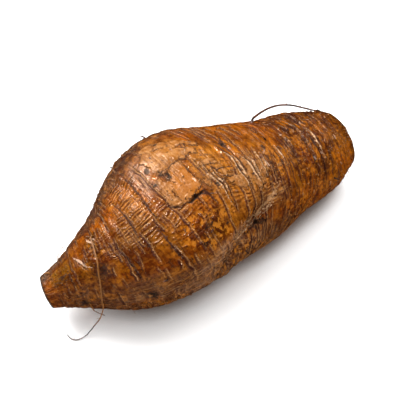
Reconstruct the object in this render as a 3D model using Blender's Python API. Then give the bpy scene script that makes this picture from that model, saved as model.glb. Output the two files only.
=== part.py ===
"""A whole kudzu root: a narrow cut neck, a fat belly, a thinner trunk and a cut far end.

The root grew as one piece, so it is one closed body. Its skin is a loft whose edges follow the
growth rings of the real root, and its rootlets are thin tubes fused into that skin.
"""
import math
import random

import bmesh
import bpy
import numpy as np
from mathutils import Vector

# Sizes are in millimetres and angles in degrees. Only the finished meshes are in metres.
MM = 0.001

# Driving sizes of the root, which lies along X with its neck towards -X
ROOT_LENGTH = 242.0
NECK_X = -120.8
FLAT_SPOT_DEPTH = 1.0

# Key sections: place along the root, sideways offset, height, half width and half height
SECTIONS = (
    (0.0, -1.5, 32.0, 12.0, 11.5),
    (12.0, -3.0, 33.5, 17.0, 16.2),
    (28.0, -7.0, 38.5, 26.0, 25.0),
    (44.0, -11.5, 43.0, 35.0, 33.5),
    (60.0, -12.0, 47.0, 43.5, 41.0),
    (78.0, -8.5, 50.0, 50.0, 47.0),
    (96.0, -1.5, 50.5, 54.5, 50.5),
    (116.0, 3.0, 49.2, 54.0, 49.5),
    (138.0, 1.5, 46.0, 50.5, 46.5),
    (162.0, 1.5, 42.4, 47.0, 43.0),
    (186.0, 3.5, 37.5, 40.5, 37.5),
    (206.0, 5.0, 35.0, 37.0, 34.0),
    (225.0, 4.5, 34.0, 31.5, 29.0),
    (242.0, 7.5, 31.0, 24.5, 22.5),
)
# A section stands square to the run of the centre line over this reach to either side
SECTION_REACH = 32.0

# The growth rings of the trunk bow forwards by this much where they are furthest along it
RING_BOW = 6.0
RING_BOW_ANGLE = 22.0

# Growth rings: place along the root, depth of the groove, and the angle where it is deepest.
# Angles run round the root: 0 is its top, 90 its front, 180 its underside, -90 its back.
GROWTH_RINGS = (
    (8.0, 0.5, 120.0),
    (15.0, 0.7, -30.0),
    (22.5, 0.8, 60.0),
    (31.0, 1.1, 5.0),
    (42.0, 1.7, 20.0),
    (47.5, 0.7, 200.0),
    (53.0, 1.6, 10.0),
    (58.0, 0.9, -100.0),
    (65.5, 0.9, 70.0),
    (74.5, 1.6, -10.0),
    (79.0, 1.0, 160.0),
    (85.0, 1.3, -20.0),
    (93.0, 0.9, -120.0),
    (98.0, 1.6, 30.0),
    (108.5, 1.2, 20.0),
    (115.5, 1.0, 200.0),
    (123.0, 1.4, 25.0),
    (129.0, 1.2, 15.0),
    (136.0, 1.2, 30.0),
    (142.0, 1.0, -60.0),
    (149.0, 1.4, 15.0),
    (154.0, 0.9, 180.0),
    (160.0, 1.4, 20.0),
    (168.0, 1.3, 25.0),
    (175.0, 1.7, 10.0),
    (183.5, 0.9, 220.0),
    (192.0, 1.3, -20.0),
    (202.5, 1.9, 20.0),
    (212.0, 1.0, 60.0),
    (219.0, 1.1, 40.0),
    (226.5, 0.9, -90.0),
    (233.0, 0.8, 30.0),
)
GROOVE_WIDTH = 1.7
RIDGE_OFFSET = 3.2
RIDGE_WIDTH = 2.2
RIDGE_SHARE = 0.45

# The fold beside the belly: place along the root, angle and depth of points down its crease
FOLD_CREASE = (
    (150.0, 36.0, 0.5),
    (139.0, 52.0, 1.8),
    (128.0, 64.0, 5.5),
    (114.0, 73.0, 3.0),
    (101.0, 85.0, 2.8),
    (93.0, 99.0, 2.6),
    (88.0, 114.0, 1.2),
)
FOLD_WIDTH = 5.0
# The belly rolls over along the fold's near side
FOLD_LIP = (
    (140.0, 34.0, 0.3),
    (128.0, 49.0, 1.2),
    (116.0, 60.0, 1.8),
    (101.0, 66.0, 1.4),
    (90.0, 77.0, 0.7),
    (82.0, 92.0, 0.1),
)
FOLD_LIP_WIDTH = 7.5
MEAN_RADIUS = 50.0

# Broad swellings of the whole skin: height, waves round the root, waves along it, and phase
SWELLINGS = (
    (0.7, 2, 1.3, 0.6),
    (0.6, 3, -1.9, 2.1),
    (0.5, 5, 2.6, 4.0),
    (0.35, 8, -3.7, 1.0),
)

# Mesh of the skin
FACES_AROUND = 44
SHORTEST_FACE = 1.3
LONGEST_FACE = 3.6
RIM_ROUNDING = 0.9
RIM_STEP = 0.6

# Rootlets
ROOTLET_THICKNESS = 1.1
ROOTLET_TIP_SHARE = 0.55
ROOTLET_STEP = 2.6
STUB_COUNT = 13
STUB_THICKNESS = 2.0
STUB_LENGTHS = (1.6, 3.6)
SUNK = 3.0
SEED = 7

SKIN_COLOUR = (0.33, 0.15, 0.045, 1.0)


def ease(value, start, end):
    """Rise smoothly from 0 at start to 1 at end."""
    share = np.clip((value - start) / (end - start), 0.0, 1.0)
    return share * share * (3.0 - 2.0 * share)


def smooth_through(places, values, place):
    """Read a smooth curve through the key values (a cubic with central slopes)."""
    places = np.asarray(places, dtype=float)
    values = np.asarray(values, dtype=float)
    slopes = np.gradient(values, places)
    place = np.clip(place, places[0], places[-1])
    left = np.clip(np.searchsorted(places, place, side="right") - 1, 0, len(places) - 2)
    gap = places[left + 1] - places[left]
    t = (place - places[left]) / gap
    from_left = (2 * t ** 3 - 3 * t ** 2 + 1) * values[left]
    from_left += (t ** 3 - 2 * t ** 2 + t) * gap * slopes[left]
    from_right = (3 * t ** 2 - 2 * t ** 3) * values[left + 1]
    from_right += (t ** 3 - t ** 2) * gap * slopes[left + 1]
    return from_left + from_right


def centre_line(along):
    """The middle of the root at a place along it."""
    table = np.array(SECTIONS)
    aside = smooth_through(table[:, 0], table[:, 1], along)
    height = smooth_through(table[:, 0], table[:, 2], along)
    return np.stack([along + NECK_X, aside, height], axis=-1)


def section_axes(along):
    """The run of the root, its front side and its upper side at a place along it."""
    behind = centre_line(np.clip(along - SECTION_REACH, 0.0, ROOT_LENGTH))
    ahead = centre_line(np.clip(along + SECTION_REACH, 0.0, ROOT_LENGTH))
    run = ahead - behind
    run = run / np.linalg.norm(run, axis=-1, keepdims=True)
    front = np.cross(run, np.broadcast_to((0.0, 0.0, 1.0), run.shape))
    front = front / np.linalg.norm(front, axis=-1, keepdims=True)
    return run, front, np.cross(front, run)


def ring_place(ring, angle):
    """Where along the root a growth ring lies at an angle: the trunk's rings are bowed."""
    bow = RING_BOW * ease(ring, 95.0, 130.0) * (1.0 - 0.7 * ease(ring, 185.0, 212.0))
    bow = bow * (1.0 - ease(ring, 212.0, 238.0))
    drift = 0.9 * np.sin(2.0 * np.radians(angle) + ring / 23.0) * ease(ring, 0.0, 20.0)
    drift = drift * (1.0 - ease(ring, 220.0, 238.0))
    return ring + bow * np.cos(np.radians(angle - RING_BOW_ANGLE)) + drift


def stroke(points, width, ring, angle):
    """Height of a raised stroke drawn on the skin through points of place, angle and height."""
    total = np.zeros(np.broadcast(ring, angle).shape)
    arc = np.radians(MEAN_RADIUS)
    for (ring_a, angle_a, height_a), (ring_b, angle_b, height_b) in zip(points, points[1:]):
        step = np.array([ring_b - ring_a, (angle_b - angle_a) * arc])
        off_ring = ring - ring_a
        off_angle = ((angle - angle_a + 180.0) % 360.0 - 180.0) * arc
        share = np.clip((off_ring * step[0] + off_angle * step[1]) / (step @ step), 0.0, 1.0)
        gap = np.hypot(off_ring - share * step[0], off_angle - share * step[1])
        height = height_a + share * (height_b - height_a)
        total = np.maximum(total, height * np.exp(-(gap / width) ** 2))
    return total


def growth_rings(ring, angle):
    """Grooves round the root, each with a raised ridge just ahead of it."""
    total = 0.0
    for number, (place, depth, deepest) in enumerate(GROWTH_RINGS):
        hold = 0.58 + 0.42 * np.cos(np.radians(angle - deepest))
        hold = hold + 0.16 * np.sin(np.radians(4.0 * angle) + 2.4 * number)
        groove = np.exp(-((ring - place) / GROOVE_WIDTH) ** 2)
        ridge = RIDGE_SHARE * np.exp(-((ring - place - RIDGE_OFFSET) / RIDGE_WIDTH) ** 2)
        total = total + depth * hold * (ridge - groove)
    return total


def swellings(ring, angle):
    """Broad, low swellings, so that no side of the root is plain."""
    total = 0.0
    for height, around, along, phase in SWELLINGS:
        wave = around * np.radians(angle) + along * 2.0 * np.pi * ring / ROOT_LENGTH + phase
        total = total + height * np.sin(wave)
    return total


def relief(ring, angle):
    """Height of the skin above the plain form, which fades at the ends and where it rests."""
    height = growth_rings(ring, angle) + swellings(ring, angle)
    height = height - stroke(FOLD_CREASE, FOLD_WIDTH, ring, angle)
    height = height + stroke(FOLD_LIP, FOLD_LIP_WIDTH, ring, angle)
    from_underside = np.abs((angle % 360.0) - 180.0)
    resting = (1.0 - ease(from_underside, 12.0, 30.0)) * ease(ring, 70.0, 95.0)
    height = height * (1.0 - 0.9 * resting * (1.0 - ease(ring, 180.0, 205.0)))
    ends = ease(ring, 0.0, 7.0) * (1.0 - ease(ring, ROOT_LENGTH - 6.0, ROOT_LENGTH))
    return height * (0.25 + 0.75 * ends)


def skin(ring, angle, lift=0.0):
    """Points of the skin, in millimetres, lifted off it by a distance."""
    ring = np.asarray(ring, dtype=float)
    angle = np.asarray(angle, dtype=float)
    along = ring_place(ring, angle)
    table = np.array(SECTIONS)
    half_width = smooth_through(table[:, 0], table[:, 3], along)
    half_height = smooth_through(table[:, 0], table[:, 4], along)
    _, front, up = section_axes(along)
    raised = relief(ring, angle) + lift
    forward = ((half_width + raised) * np.sin(np.radians(angle)))[..., None] * front
    upward = ((half_height + raised) * np.cos(np.radians(angle)))[..., None] * up
    points = centre_line(along) + forward + upward
    points[..., 2] = np.maximum(points[..., 2] - FLAT_SPOT_DEPTH, 0.0)
    return points


def ring_places():
    """Places of the mesh's edges: in every groove and on every ridge, and between them."""
    marks = [0.0, ROOT_LENGTH]
    for place, _, _ in GROWTH_RINGS:
        marks.extend((place - GROOVE_WIDTH, place, place + RIDGE_OFFSET))
    kept = [0.0]
    for mark in sorted(marks):
        if mark - kept[-1] >= SHORTEST_FACE and mark <= ROOT_LENGTH:
            kept.append(mark)
    places = [0.0]
    for mark in kept[1:]:
        parts = math.ceil((mark - places[-1]) / LONGEST_FACE)
        places.extend(np.linspace(places[-1], mark, parts + 1)[1:])
    return np.array(places)


def close_end(mesh, rim, outward):
    """Close an open end with a flat cut inside a slightly rounded rim."""
    middle = sum((vertex.co for vertex in rim), Vector()) / len(rim)
    inner = []
    for vertex in rim:
        inner.append(mesh.verts.new(middle + (vertex.co - middle) * RIM_ROUNDING + outward))
    for index, vertex in enumerate(rim):
        after = (index + 1) % len(rim)
        mesh.faces.new((vertex, rim[after], inner[after], inner[index]))
    mesh.faces.new(inner)


def make_body(collection, material):
    """The whole skin with its two cut ends, as one closed mesh."""
    angles = np.linspace(0.0, 360.0, FACES_AROUND, endpoint=False)
    places = ring_places()
    points = skin(places[:, None], angles[None, :]) * MM
    mesh = bmesh.new()
    rings = [[mesh.verts.new(point) for point in ring] for ring in points]
    for near, far in zip(rings, rings[1:]):
        for index in range(FACES_AROUND):
            after = (index + 1) % FACES_AROUND
            mesh.faces.new((near[index], near[after], far[after], far[index]))
    run, _, _ = section_axes(np.array([0.0, ROOT_LENGTH]))
    close_end(mesh, rings[0], Vector(-run[0]) * RIM_STEP * MM)
    close_end(mesh, rings[-1], Vector(run[1]) * RIM_STEP * MM)
    bmesh.ops.recalc_face_normals(mesh, faces=mesh.faces)
    data = bpy.data.meshes.new("root")
    mesh.to_mesh(data)
    mesh.free()
    data.materials.append(material)
    body = bpy.data.objects.new("root", data)
    collection.objects.link(body)
    return body


def even_points(points, step):
    """Points a step apart on a smooth curve through the given ones."""
    points = np.array(points, dtype=float)
    gaps = np.linalg.norm(np.diff(points, axis=0), axis=1)
    places = np.concatenate([[0.0], np.cumsum(gaps)])
    count = max(3, round(places[-1] / step) + 1)
    wanted = np.linspace(0.0, places[-1], count)
    return np.stack([smooth_through(places, points[:, axis], wanted) for axis in range(3)], -1)


def make_rootlet(points, thickness, collection, material):
    """A thin tapering tube with round ends closed, as a mesh of its own."""
    curve = bpy.data.curves.new("rootlet_path", "CURVE")
    curve.dimensions = "3D"
    curve.bevel_depth = thickness / 2.0 * MM
    curve.bevel_resolution = 1
    curve.use_fill_caps = True
    spline = curve.splines.new("POLY")
    spline.points.add(len(points) - 1)
    for index, point in enumerate(points):
        share = index / (len(points) - 1)
        spline.points[index].co = (*(point * MM), 1.0)
        spline.points[index].radius = 1.0 - (1.0 - ROOTLET_TIP_SHARE) * share
    path = bpy.data.objects.new("rootlet_path", curve)
    collection.objects.link(path)
    graph = bpy.context.evaluated_depsgraph_get()
    data = bpy.data.meshes.new_from_object(path.evaluated_get(graph))
    mesh = bmesh.new()
    mesh.from_mesh(data)
    bmesh.ops.remove_doubles(mesh, verts=mesh.verts, dist=0.00001)
    bmesh.ops.recalc_face_normals(mesh, faces=mesh.faces)
    mesh.to_mesh(data)
    mesh.free()
    data.materials.clear()
    data.materials.append(material)
    rootlet = bpy.data.objects.new("rootlet", data)
    collection.objects.link(rootlet)
    bpy.data.objects.remove(path)
    return rootlet


def rootlet_routes():
    """Routes of the long rootlets, by hand: on the skin first, and then hanging free."""
    hanging = [skin(43.0, -12.0, -SUNK), skin(42.6, -9.0, 1.8), skin(41.4, 7.0, 2.6),
               skin(39.6, 23.0, 2.4), skin(36.4, 43.0, 2.4), skin(33.0, 68.0, 2.2),
               (-96.0, -33.5, 30.0), (-100.3, -31.1, 15.0), (-105.4, -29.5, 6.0),
               (-111.3, -29.1, 1.6), (-116.0, -28.3, 1.1), (-119.0, -25.3, 1.1),
               (-120.0, -21.3, 1.1)]
    under_neck = [skin(24.0, 84.0, -SUNK), skin(25.0, 92.0, 0.8), (-96.8, -25.1, 17.5),
                  (-93.0, -28.5, 14.5)]
    arched = [skin(170.0, -33.0, -SUNK), skin(173.0, -36.0, 1.5), skin(180.0, -41.0, 4.6),
              skin(188.0, -44.0, 6.4), skin(197.0, -44.0, 6.6), skin(206.0, -42.0, 5.6),
              skin(214.0, -36.0, 3.8), skin(219.0, -28.0, 1.8), skin(222.0, -21.0, -SUNK)]
    behind_belly = [skin(118.0, -118.0, -SUNK), skin(116.0, -112.0, 2.2),
                    skin(107.0, -106.0, 3.4), skin(96.0, -104.0, 4.0),
                    skin(86.0, -109.0, 3.6), skin(79.0, -117.0, 2.4)]
    behind_trunk = [skin(205.0, 228.0, -SUNK), skin(203.0, 235.0, 2.0),
                    skin(196.0, 243.0, 5.0), skin(186.0, 246.0, 5.6),
                    skin(177.0, 241.0, 3.2)]
    return [hanging, under_neck, arched, behind_belly, behind_trunk]


def stub_routes():
    """Short broken rootlets at seeded places all round the root."""
    draw = random.Random(SEED)
    routes = []
    for number in range(STUB_COUNT):
        ring = ROOT_LENGTH * (number + draw.uniform(0.25, 0.75)) / STUB_COUNT
        angle = (number * 137.5 + draw.uniform(-20.0, 20.0)) % 360.0
        if abs(angle - 180.0) < 50.0:
            angle = angle + 90.0
        length = draw.uniform(*STUB_LENGTHS)
        lean = draw.uniform(-6.0, 6.0)
        routes.append([skin(ring, angle, -SUNK), skin(ring, angle, 0.0),
                       skin(ring + lean * 0.4, angle + lean * 0.4, length * 0.55),
                       skin(ring + lean, angle + lean * 0.7, length)])
    return routes


def fuse(body, pieces):
    """Join the rootlets to the body with one union, and remove the loose pieces."""
    modifier = body.modifiers.new("rootlets", "BOOLEAN")
    modifier.operation = "UNION"
    modifier.operand_type = "COLLECTION"
    modifier.collection = pieces
    modifier.solver = "EXACT"
    graph = bpy.context.evaluated_depsgraph_get()
    joined = bpy.data.meshes.new_from_object(body.evaluated_get(graph))
    body.modifiers.remove(modifier)
    old = body.data
    body.data = joined
    bpy.data.meshes.remove(old)
    joined.name = "root"
    for piece in list(pieces.objects):
        bpy.data.objects.remove(piece)
    bpy.data.collections.remove(pieces)


def skin_material():
    """Wet brown bark."""
    material = bpy.data.materials.new("root_bark")
    material.use_nodes = True
    shader = material.node_tree.nodes["Principled BSDF"]
    shader.inputs["Base Color"].default_value = SKIN_COLOUR
    shader.inputs["Roughness"].default_value = 0.42
    shader.inputs["Metallic"].default_value = 0.0
    material.diffuse_color = SKIN_COLOUR
    return material


def main():
    for item in list(bpy.data.objects):
        bpy.data.objects.remove(item)
    collection = bpy.data.collections.new("kudzu_root")
    bpy.context.scene.collection.children.link(collection)
    pieces = bpy.data.collections.new("rootlets")
    bpy.context.scene.collection.children.link(pieces)
    material = skin_material()
    body = make_body(collection, material)
    for route in rootlet_routes():
        points = even_points(route, ROOTLET_STEP)
        make_rootlet(points, ROOTLET_THICKNESS, pieces, material)
    for route in stub_routes():
        make_rootlet(np.array(route), STUB_THICKNESS, pieces, material)
    fuse(body, pieces)
    body.data.shade_smooth()


main()
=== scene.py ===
"""Looks of the kudzu root: wet ringed bark with papery flakes, thin rootlets and two cut ends."""

import itertools
import math
import random
from collections import namedtuple

import bpy
import numpy as np
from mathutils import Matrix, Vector


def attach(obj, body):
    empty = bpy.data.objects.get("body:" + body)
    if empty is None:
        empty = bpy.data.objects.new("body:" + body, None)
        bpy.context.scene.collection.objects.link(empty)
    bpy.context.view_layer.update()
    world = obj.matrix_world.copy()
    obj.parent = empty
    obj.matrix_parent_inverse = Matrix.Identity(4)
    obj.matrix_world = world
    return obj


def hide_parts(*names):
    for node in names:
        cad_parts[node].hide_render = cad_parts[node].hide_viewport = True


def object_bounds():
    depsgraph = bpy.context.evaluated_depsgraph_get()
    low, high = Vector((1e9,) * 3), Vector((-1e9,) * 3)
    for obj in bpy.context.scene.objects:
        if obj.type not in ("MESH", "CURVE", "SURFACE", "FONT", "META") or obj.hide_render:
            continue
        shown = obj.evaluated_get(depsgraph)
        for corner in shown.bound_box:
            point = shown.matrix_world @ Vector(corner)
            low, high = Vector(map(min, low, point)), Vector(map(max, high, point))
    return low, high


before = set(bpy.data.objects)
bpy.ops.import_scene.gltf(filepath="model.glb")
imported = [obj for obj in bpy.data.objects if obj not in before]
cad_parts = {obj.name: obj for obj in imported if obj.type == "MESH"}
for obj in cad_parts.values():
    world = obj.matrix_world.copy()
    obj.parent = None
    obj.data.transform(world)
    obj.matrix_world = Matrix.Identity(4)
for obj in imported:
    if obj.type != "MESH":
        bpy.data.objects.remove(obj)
CAD_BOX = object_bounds()

# Sizes are in millimetres and angles in degrees. Only the finished meshes are in metres.
MM = 0.001

# The solid's box in millimetres, the margin inside it, and the height below which bark rests
BOX_LOW, BOX_HIGH = (np.array(corner) / MM for corner in CAD_BOX)
BOX_MARGIN = 0.02
RESTING_HEIGHT = 0.03

# The form of the root, as the solid has it
ROOT_LENGTH = 242.0
NECK_X = -120.8
FLAT_SPOT_DEPTH = 1.0

# Key sections: place along the root, sideways offset, height, half width and half height
SECTIONS = (
    (0.0, -1.5, 32.0, 12.0, 11.5),
    (12.0, -3.0, 33.5, 17.0, 16.2),
    (28.0, -7.0, 38.5, 26.0, 25.0),
    (44.0, -11.5, 43.0, 35.0, 33.5),
    (60.0, -12.0, 47.0, 43.5, 41.0),
    (78.0, -8.5, 50.0, 50.0, 47.0),
    (96.0, -1.5, 50.5, 54.5, 50.5),
    (116.0, 3.0, 49.2, 54.0, 49.5),
    (138.0, 1.5, 46.0, 50.5, 46.5),
    (162.0, 1.5, 42.4, 47.0, 43.0),
    (186.0, 3.5, 37.5, 40.5, 37.5),
    (206.0, 5.0, 35.0, 37.0, 34.0),
    (225.0, 4.5, 34.0, 31.5, 29.0),
    (242.0, 7.5, 31.0, 24.5, 22.5),
)
SECTION_REACH = 32.0
RING_BOW = 6.0
RING_BOW_ANGLE = 22.0

# Growth rings: place along the root, depth of the groove, and the angle where it is deepest.
# Angles run round the root: 0 is its top, 90 its front, 180 its underside, -90 its back.
GROWTH_RINGS = (
    (8.0, 0.5, 120.0),
    (15.0, 0.7, -30.0),
    (22.5, 0.8, 60.0),
    (31.0, 1.1, 5.0),
    (42.0, 1.7, 20.0),
    (47.5, 0.7, 200.0),
    (53.0, 1.6, 10.0),
    (58.0, 0.9, -100.0),
    (65.5, 0.9, 70.0),
    (74.5, 1.6, -10.0),
    (79.0, 1.0, 160.0),
    (85.0, 1.3, -20.0),
    (93.0, 0.9, -120.0),
    (98.0, 1.6, 30.0),
    (108.5, 1.2, 20.0),
    (115.5, 1.0, 200.0),
    (123.0, 1.4, 25.0),
    (129.0, 1.2, 15.0),
    (136.0, 1.2, 30.0),
    (142.0, 1.0, -60.0),
    (149.0, 1.4, 15.0),
    (154.0, 0.9, 180.0),
    (160.0, 1.4, 20.0),
    (168.0, 1.3, 25.0),
    (175.0, 1.7, 10.0),
    (183.5, 0.9, 220.0),
    (192.0, 1.3, -20.0),
    (202.5, 1.9, 20.0),
    (212.0, 1.0, 60.0),
    (219.0, 1.1, 40.0),
    (226.5, 0.9, -90.0),
    (233.0, 0.8, 30.0),
)
GROOVE_WIDTH = 1.7
RIDGE_OFFSET = 3.2
RIDGE_WIDTH = 2.2
RIDGE_SHARE = 0.45

# The fold beside the belly, and the lip that rolls over it: place, angle and height of points
FOLD_CREASE = (
    (150.0, 36.0, 0.5),
    (139.0, 52.0, 1.8),
    (128.0, 64.0, 5.5),
    (114.0, 73.0, 3.0),
    (101.0, 85.0, 2.8),
    (93.0, 99.0, 2.6),
    (88.0, 114.0, 1.2),
)
FOLD_WIDTH = 5.0
FOLD_LIP = (
    (140.0, 34.0, 0.3),
    (128.0, 49.0, 1.2),
    (116.0, 60.0, 1.8),
    (101.0, 66.0, 1.4),
    (90.0, 77.0, 0.7),
    (82.0, 92.0, 0.1),
)
FOLD_LIP_WIDTH = 7.5
MEAN_RADIUS = 50.0
# Millimetres round the root for each degree
DEGREE_ARC = math.radians(MEAN_RADIUS)

# The finished bark has shallower grooves than the solid, with fine lines in them, and lies
# just inside it
RING_SHALLOWNESS = 0.5
SETTLED = 0.55
# Fine lines beside each growth ring, in sets: how far past the ring they run, and how broken
LINE_SETS = (((0.0, 0.6), -0.25), ((-3.2, -1.4), 0.20), ((1.8, 4.0), 0.15))
# How near its growth ring a line runs, and the distance to a line where there is none
LINE_REACH = 9.0
NO_LINE = 4.0
# Over what distances along the root and across it lines break up and bend, and by how much
LINE_BREAK_SIZE = (60.0, 11.0, 11.0)
LINE_BEND_SIZE = (60.0, 7.0, 7.0)
LINE_BEND = 0.4
# Each line is a groove with a raised cord beside it
LINE_DEPTH = 0.45
LINE_WIDTH = 0.8
CORD_HEIGHT = 0.35
CORD_OFFSET = 1.4
# The trunk's lines have no cords: where those of the belly fade out
CORDS_FADE = (142.0, 168.0)
# What sets each band of wrinkles off from the last: a shift of its noise, and a turn in radians
BAND_SHIFT = (0.0, 31.7, 17.3)
BAND_TURN = 2.1
# Scraps of dry skin, and the dried plates of the neck
SCRAP_THICKNESS = 0.35
PLATE_SIZE = (3.4, 3.8, 3.8)
# Heights and depths of the other marks where they are strongest, and the sizes of two of them
LUMP_HEIGHT = 0.45
LUMP_SIZE = (4.2, 5.2, 5.2)
GRAIN_HEIGHT = 0.15
GRAIN_SIZE = 1.8
RIDGE_HEIGHT = 0.8
CRACK_DEPTH = 0.9
PLATE_GAP_DEPTH = 0.35
PIT_DEPTH = 0.9
# How ragged marks are: size of the waves, seed, and reach along the root and round it in degrees
EDGE_WANDER = (9.0, 3, 2.6, 3.2)
LINE_WANDER = (4.5, 5, 0.7, 0.9)
FLAKE_WANDER = (3.0, 66, 0.6, 0.7)
PIT_WANDER = (3.0, 7, 0.9, 1.0)
# Dark skin at the rims: where it starts and ends past the neck's cut, and how far before the far
# cut it starts and is full, with how much further behind, where the far end is most ragged
NECK_RIM = (0.4, 2.6)
BLACK_RIM = (0.5, 1.6)
FAR_RIM = (5.5, 2.2)
FAR_RIM_BEHIND = (8.0, 4.0)
BEHIND_ANGLE = -25.0
RAGGED_END = (ROOT_LENGTH - 24.0, ROOT_LENGTH - 4.0)
# Wrinkles along the root, as many as fit round its middle
WRINKLE_SPACING = 2.9
WRINKLE_COUNT = round(2.0 * math.pi * MEAN_RADIUS / WRINKLE_SPACING)

# Dark stripes round the trunk, a few millimetres apart
STRIPE_TURNS = 2.0 * math.pi / 0.0058

# Broad swellings of the whole skin: height, waves round the root, waves along it, and phase
SWELLINGS = (
    (0.7, 2, 1.3, 0.6),
    (0.6, 3, -1.9, 2.1),
    (0.5, 5, 2.6, 4.0),
    (0.35, 8, -3.7, 1.0),
)

# Mesh of the skin, which is finest on the side that faces up and forwards
FACES_ALONG = 318
FACES_AROUND = 300
CROWDED_ANGLE = 28.0
CROWDING = 0.42
CUT_RINGS = 7
CUT_HOLLOW = 0.8
CUT_GROWTH_RINGS = 5.0
RIM_ROUNDING = 0.5

# Rootlets: their thickness, and the share of it that each of them has where it starts
ROOTLET_THICKNESS = 0.9
ROOTLET_SHARES = (1.15, 1.0, 2.2, 1.2, 1.2)
SIDE_HAIR_EVERY = 9
SIDE_HAIR_LENGTHS = (1.2, 3.0)
# Where rootlets are browner, in metres: towards the neck, and clear of the floor
BROWN_X = (-0.06, -0.07)
BROWN_Z = (0.01, 0.02)
# Loose threads: place, angle, how far they stand off, and how far they lean along and round
FRAY_THICKNESS = 0.45
FRAYS = (
    (238.6, 34, 2.6, 2.4, 9), (239, 40, 4.6, 2.2, 18), (240, 46, 3.4, 1.6, 16),
    (238, 14, 1.6, 2.6, -6), (239.5, 20, 1.8, 2, 10), (239, 27, 1.6, 2.4, -7),
    (225, 78, 2.6, 5, 6), (228, 80, 2.2, -4, 8), (222, 82, 2.4, -3, -8), (230, 76, 3, 4, 3),
    (216, 84, 2.2, 4, 7), (15, -40, 2.6, 9, -5), (16, -38, 3, 12, -8), (21, -42, 2, 5, 6),
    (52, -33, 1.6, 3, -6), (60, -38, 1.8, -3, -7), (68, -40, 1.5, 4, -5), (80, -44, 1.2, 2.5, -8),
    (40, -14, 1.5, 5, 9), (41, -10, 1.4, -4, 12), (38, -6, 1.3, 6, 8), (128, 66, 1.6, -12, 6),
    (133, 62, 1.4, -14, 8), (118, 70, 1.5, -12, 7), (140, 56, 1.3, -10, 9),
)
ROOTLET_STEP = 1.3
ROOTLET_SIDES = 8
STUB_COUNT = 13
STUB_THICKNESS = 1.5
STUB_LENGTHS = (1.6, 3.6)
STUB_SHARE = 0.8
STUB_TURN = 137.5
# Small things on the bark: copies a square metre, smallest and largest size, tilt, and seed
HAIR_THICKNESS = 0.3
HAIR_SPREAD = (14000.0, 0.7, 2.2, 1.2, 3)
SCALE_THICKNESS = 0.22
SCALE_SPREAD = (12000.0, 0.6, 1.6, 0.5, 5)
# How deep in the root the feet of rootlets lie
SUNK = 3.0
# Seed of the draws that aren't noise. The noise has a whole number of its own in each call.
SEED = 7

# Camera: where it looks, and from where
CAMERA_TARGET = (4.04, 7.86, 36.0)
CAMERA_AZIMUTH = -31.0
CAMERA_ELEVATION = 54.0
CAMERA_DISTANCE = 618.0
CAMERA_FIELD_OF_VIEW = 26.0

# Surroundings and floor: brightness, reach, gap under the root, and grain of the paper
WORLD_STRENGTH = 0.92
FLOOR_REACH = 3000.0
FLOOR_GAP = 0.02
PAPER_GRAIN = 10.0 / 9.0


def ease(value, start, end):
    """Rise smoothly from 0 at start to 1 at end."""
    share = np.clip((value - start) / (end - start), 0.0, 1.0)
    return share * share * (3.0 - 2.0 * share)


def smooth_through(places, values, place):
    """Read a smooth curve through the key values (a cubic with central slopes)."""
    places = np.asarray(places, dtype=float)
    values = np.asarray(values, dtype=float)
    slopes = np.gradient(values, places)
    place = np.clip(place, places[0], places[-1])
    left = np.clip(np.searchsorted(places, place, side="right") - 1, 0, len(places) - 2)
    gap = places[left + 1] - places[left]
    t = (place - places[left]) / gap
    from_left = (2 * t ** 3 - 3 * t ** 2 + 1) * values[left]
    from_left += (t ** 3 - 2 * t ** 2 + t) * gap * slopes[left]
    from_right = (3 * t ** 2 - 2 * t ** 3) * values[left + 1]
    from_right += (t ** 3 - t ** 2) * gap * slopes[left + 1]
    return from_left + from_right


def centre_line(along):
    """The middle of the root at a place along it."""
    table = np.array(SECTIONS)
    aside = smooth_through(table[:, 0], table[:, 1], along)
    height = smooth_through(table[:, 0], table[:, 2], along)
    return np.stack([along + NECK_X, aside, height], axis=-1)


def section_axes(along):
    """The run of the root, its front side and its upper side at a place along it."""
    behind = centre_line(np.clip(along - SECTION_REACH, 0.0, ROOT_LENGTH))
    ahead = centre_line(np.clip(along + SECTION_REACH, 0.0, ROOT_LENGTH))
    run = ahead - behind
    run = run / np.linalg.norm(run, axis=-1, keepdims=True)
    front = np.cross(run, np.broadcast_to((0.0, 0.0, 1.0), run.shape))
    front = front / np.linalg.norm(front, axis=-1, keepdims=True)
    return run, front, np.cross(front, run)


def ring_place(ring, angle):
    """Where along the root a growth ring lies at an angle: the trunk's rings are bowed."""
    bow = RING_BOW * ease(ring, 95.0, 130.0) * (1.0 - 0.7 * ease(ring, 185.0, 212.0))
    bow = bow * (1.0 - ease(ring, 212.0, 238.0))
    drift = 0.9 * np.sin(2.0 * np.radians(angle) + ring / 23.0) * ease(ring, 0.0, 20.0)
    drift = drift * (1.0 - ease(ring, 220.0, 238.0))
    return ring + bow * np.cos(np.radians(angle - RING_BOW_ANGLE)) + drift


def turned_from(angle, middle):
    """Degrees from a middle angle to an angle, the shorter way round the root."""
    return (angle - middle + 180.0) % 360.0 - 180.0


def stroke(points, width, ring, angle):
    """Height of a stroke drawn on the skin through points of place, angle and height."""
    total = np.zeros(np.broadcast(ring, angle).shape)
    for (ring_a, angle_a, height_a), (ring_b, angle_b, height_b) in zip(points, points[1:]):
        step = np.array([ring_b - ring_a, (angle_b - angle_a) * DEGREE_ARC])
        off_ring = ring - ring_a
        off_angle = turned_from(angle, angle_a) * DEGREE_ARC
        share = np.clip((off_ring * step[0] + off_angle * step[1]) / (step @ step), 0.0, 1.0)
        gap = np.hypot(off_ring - share * step[0], off_angle - share * step[1])
        height = height_a + share * (height_b - height_a)
        total = np.maximum(total, height * np.exp(-(gap / width) ** 2))
    return total


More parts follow.
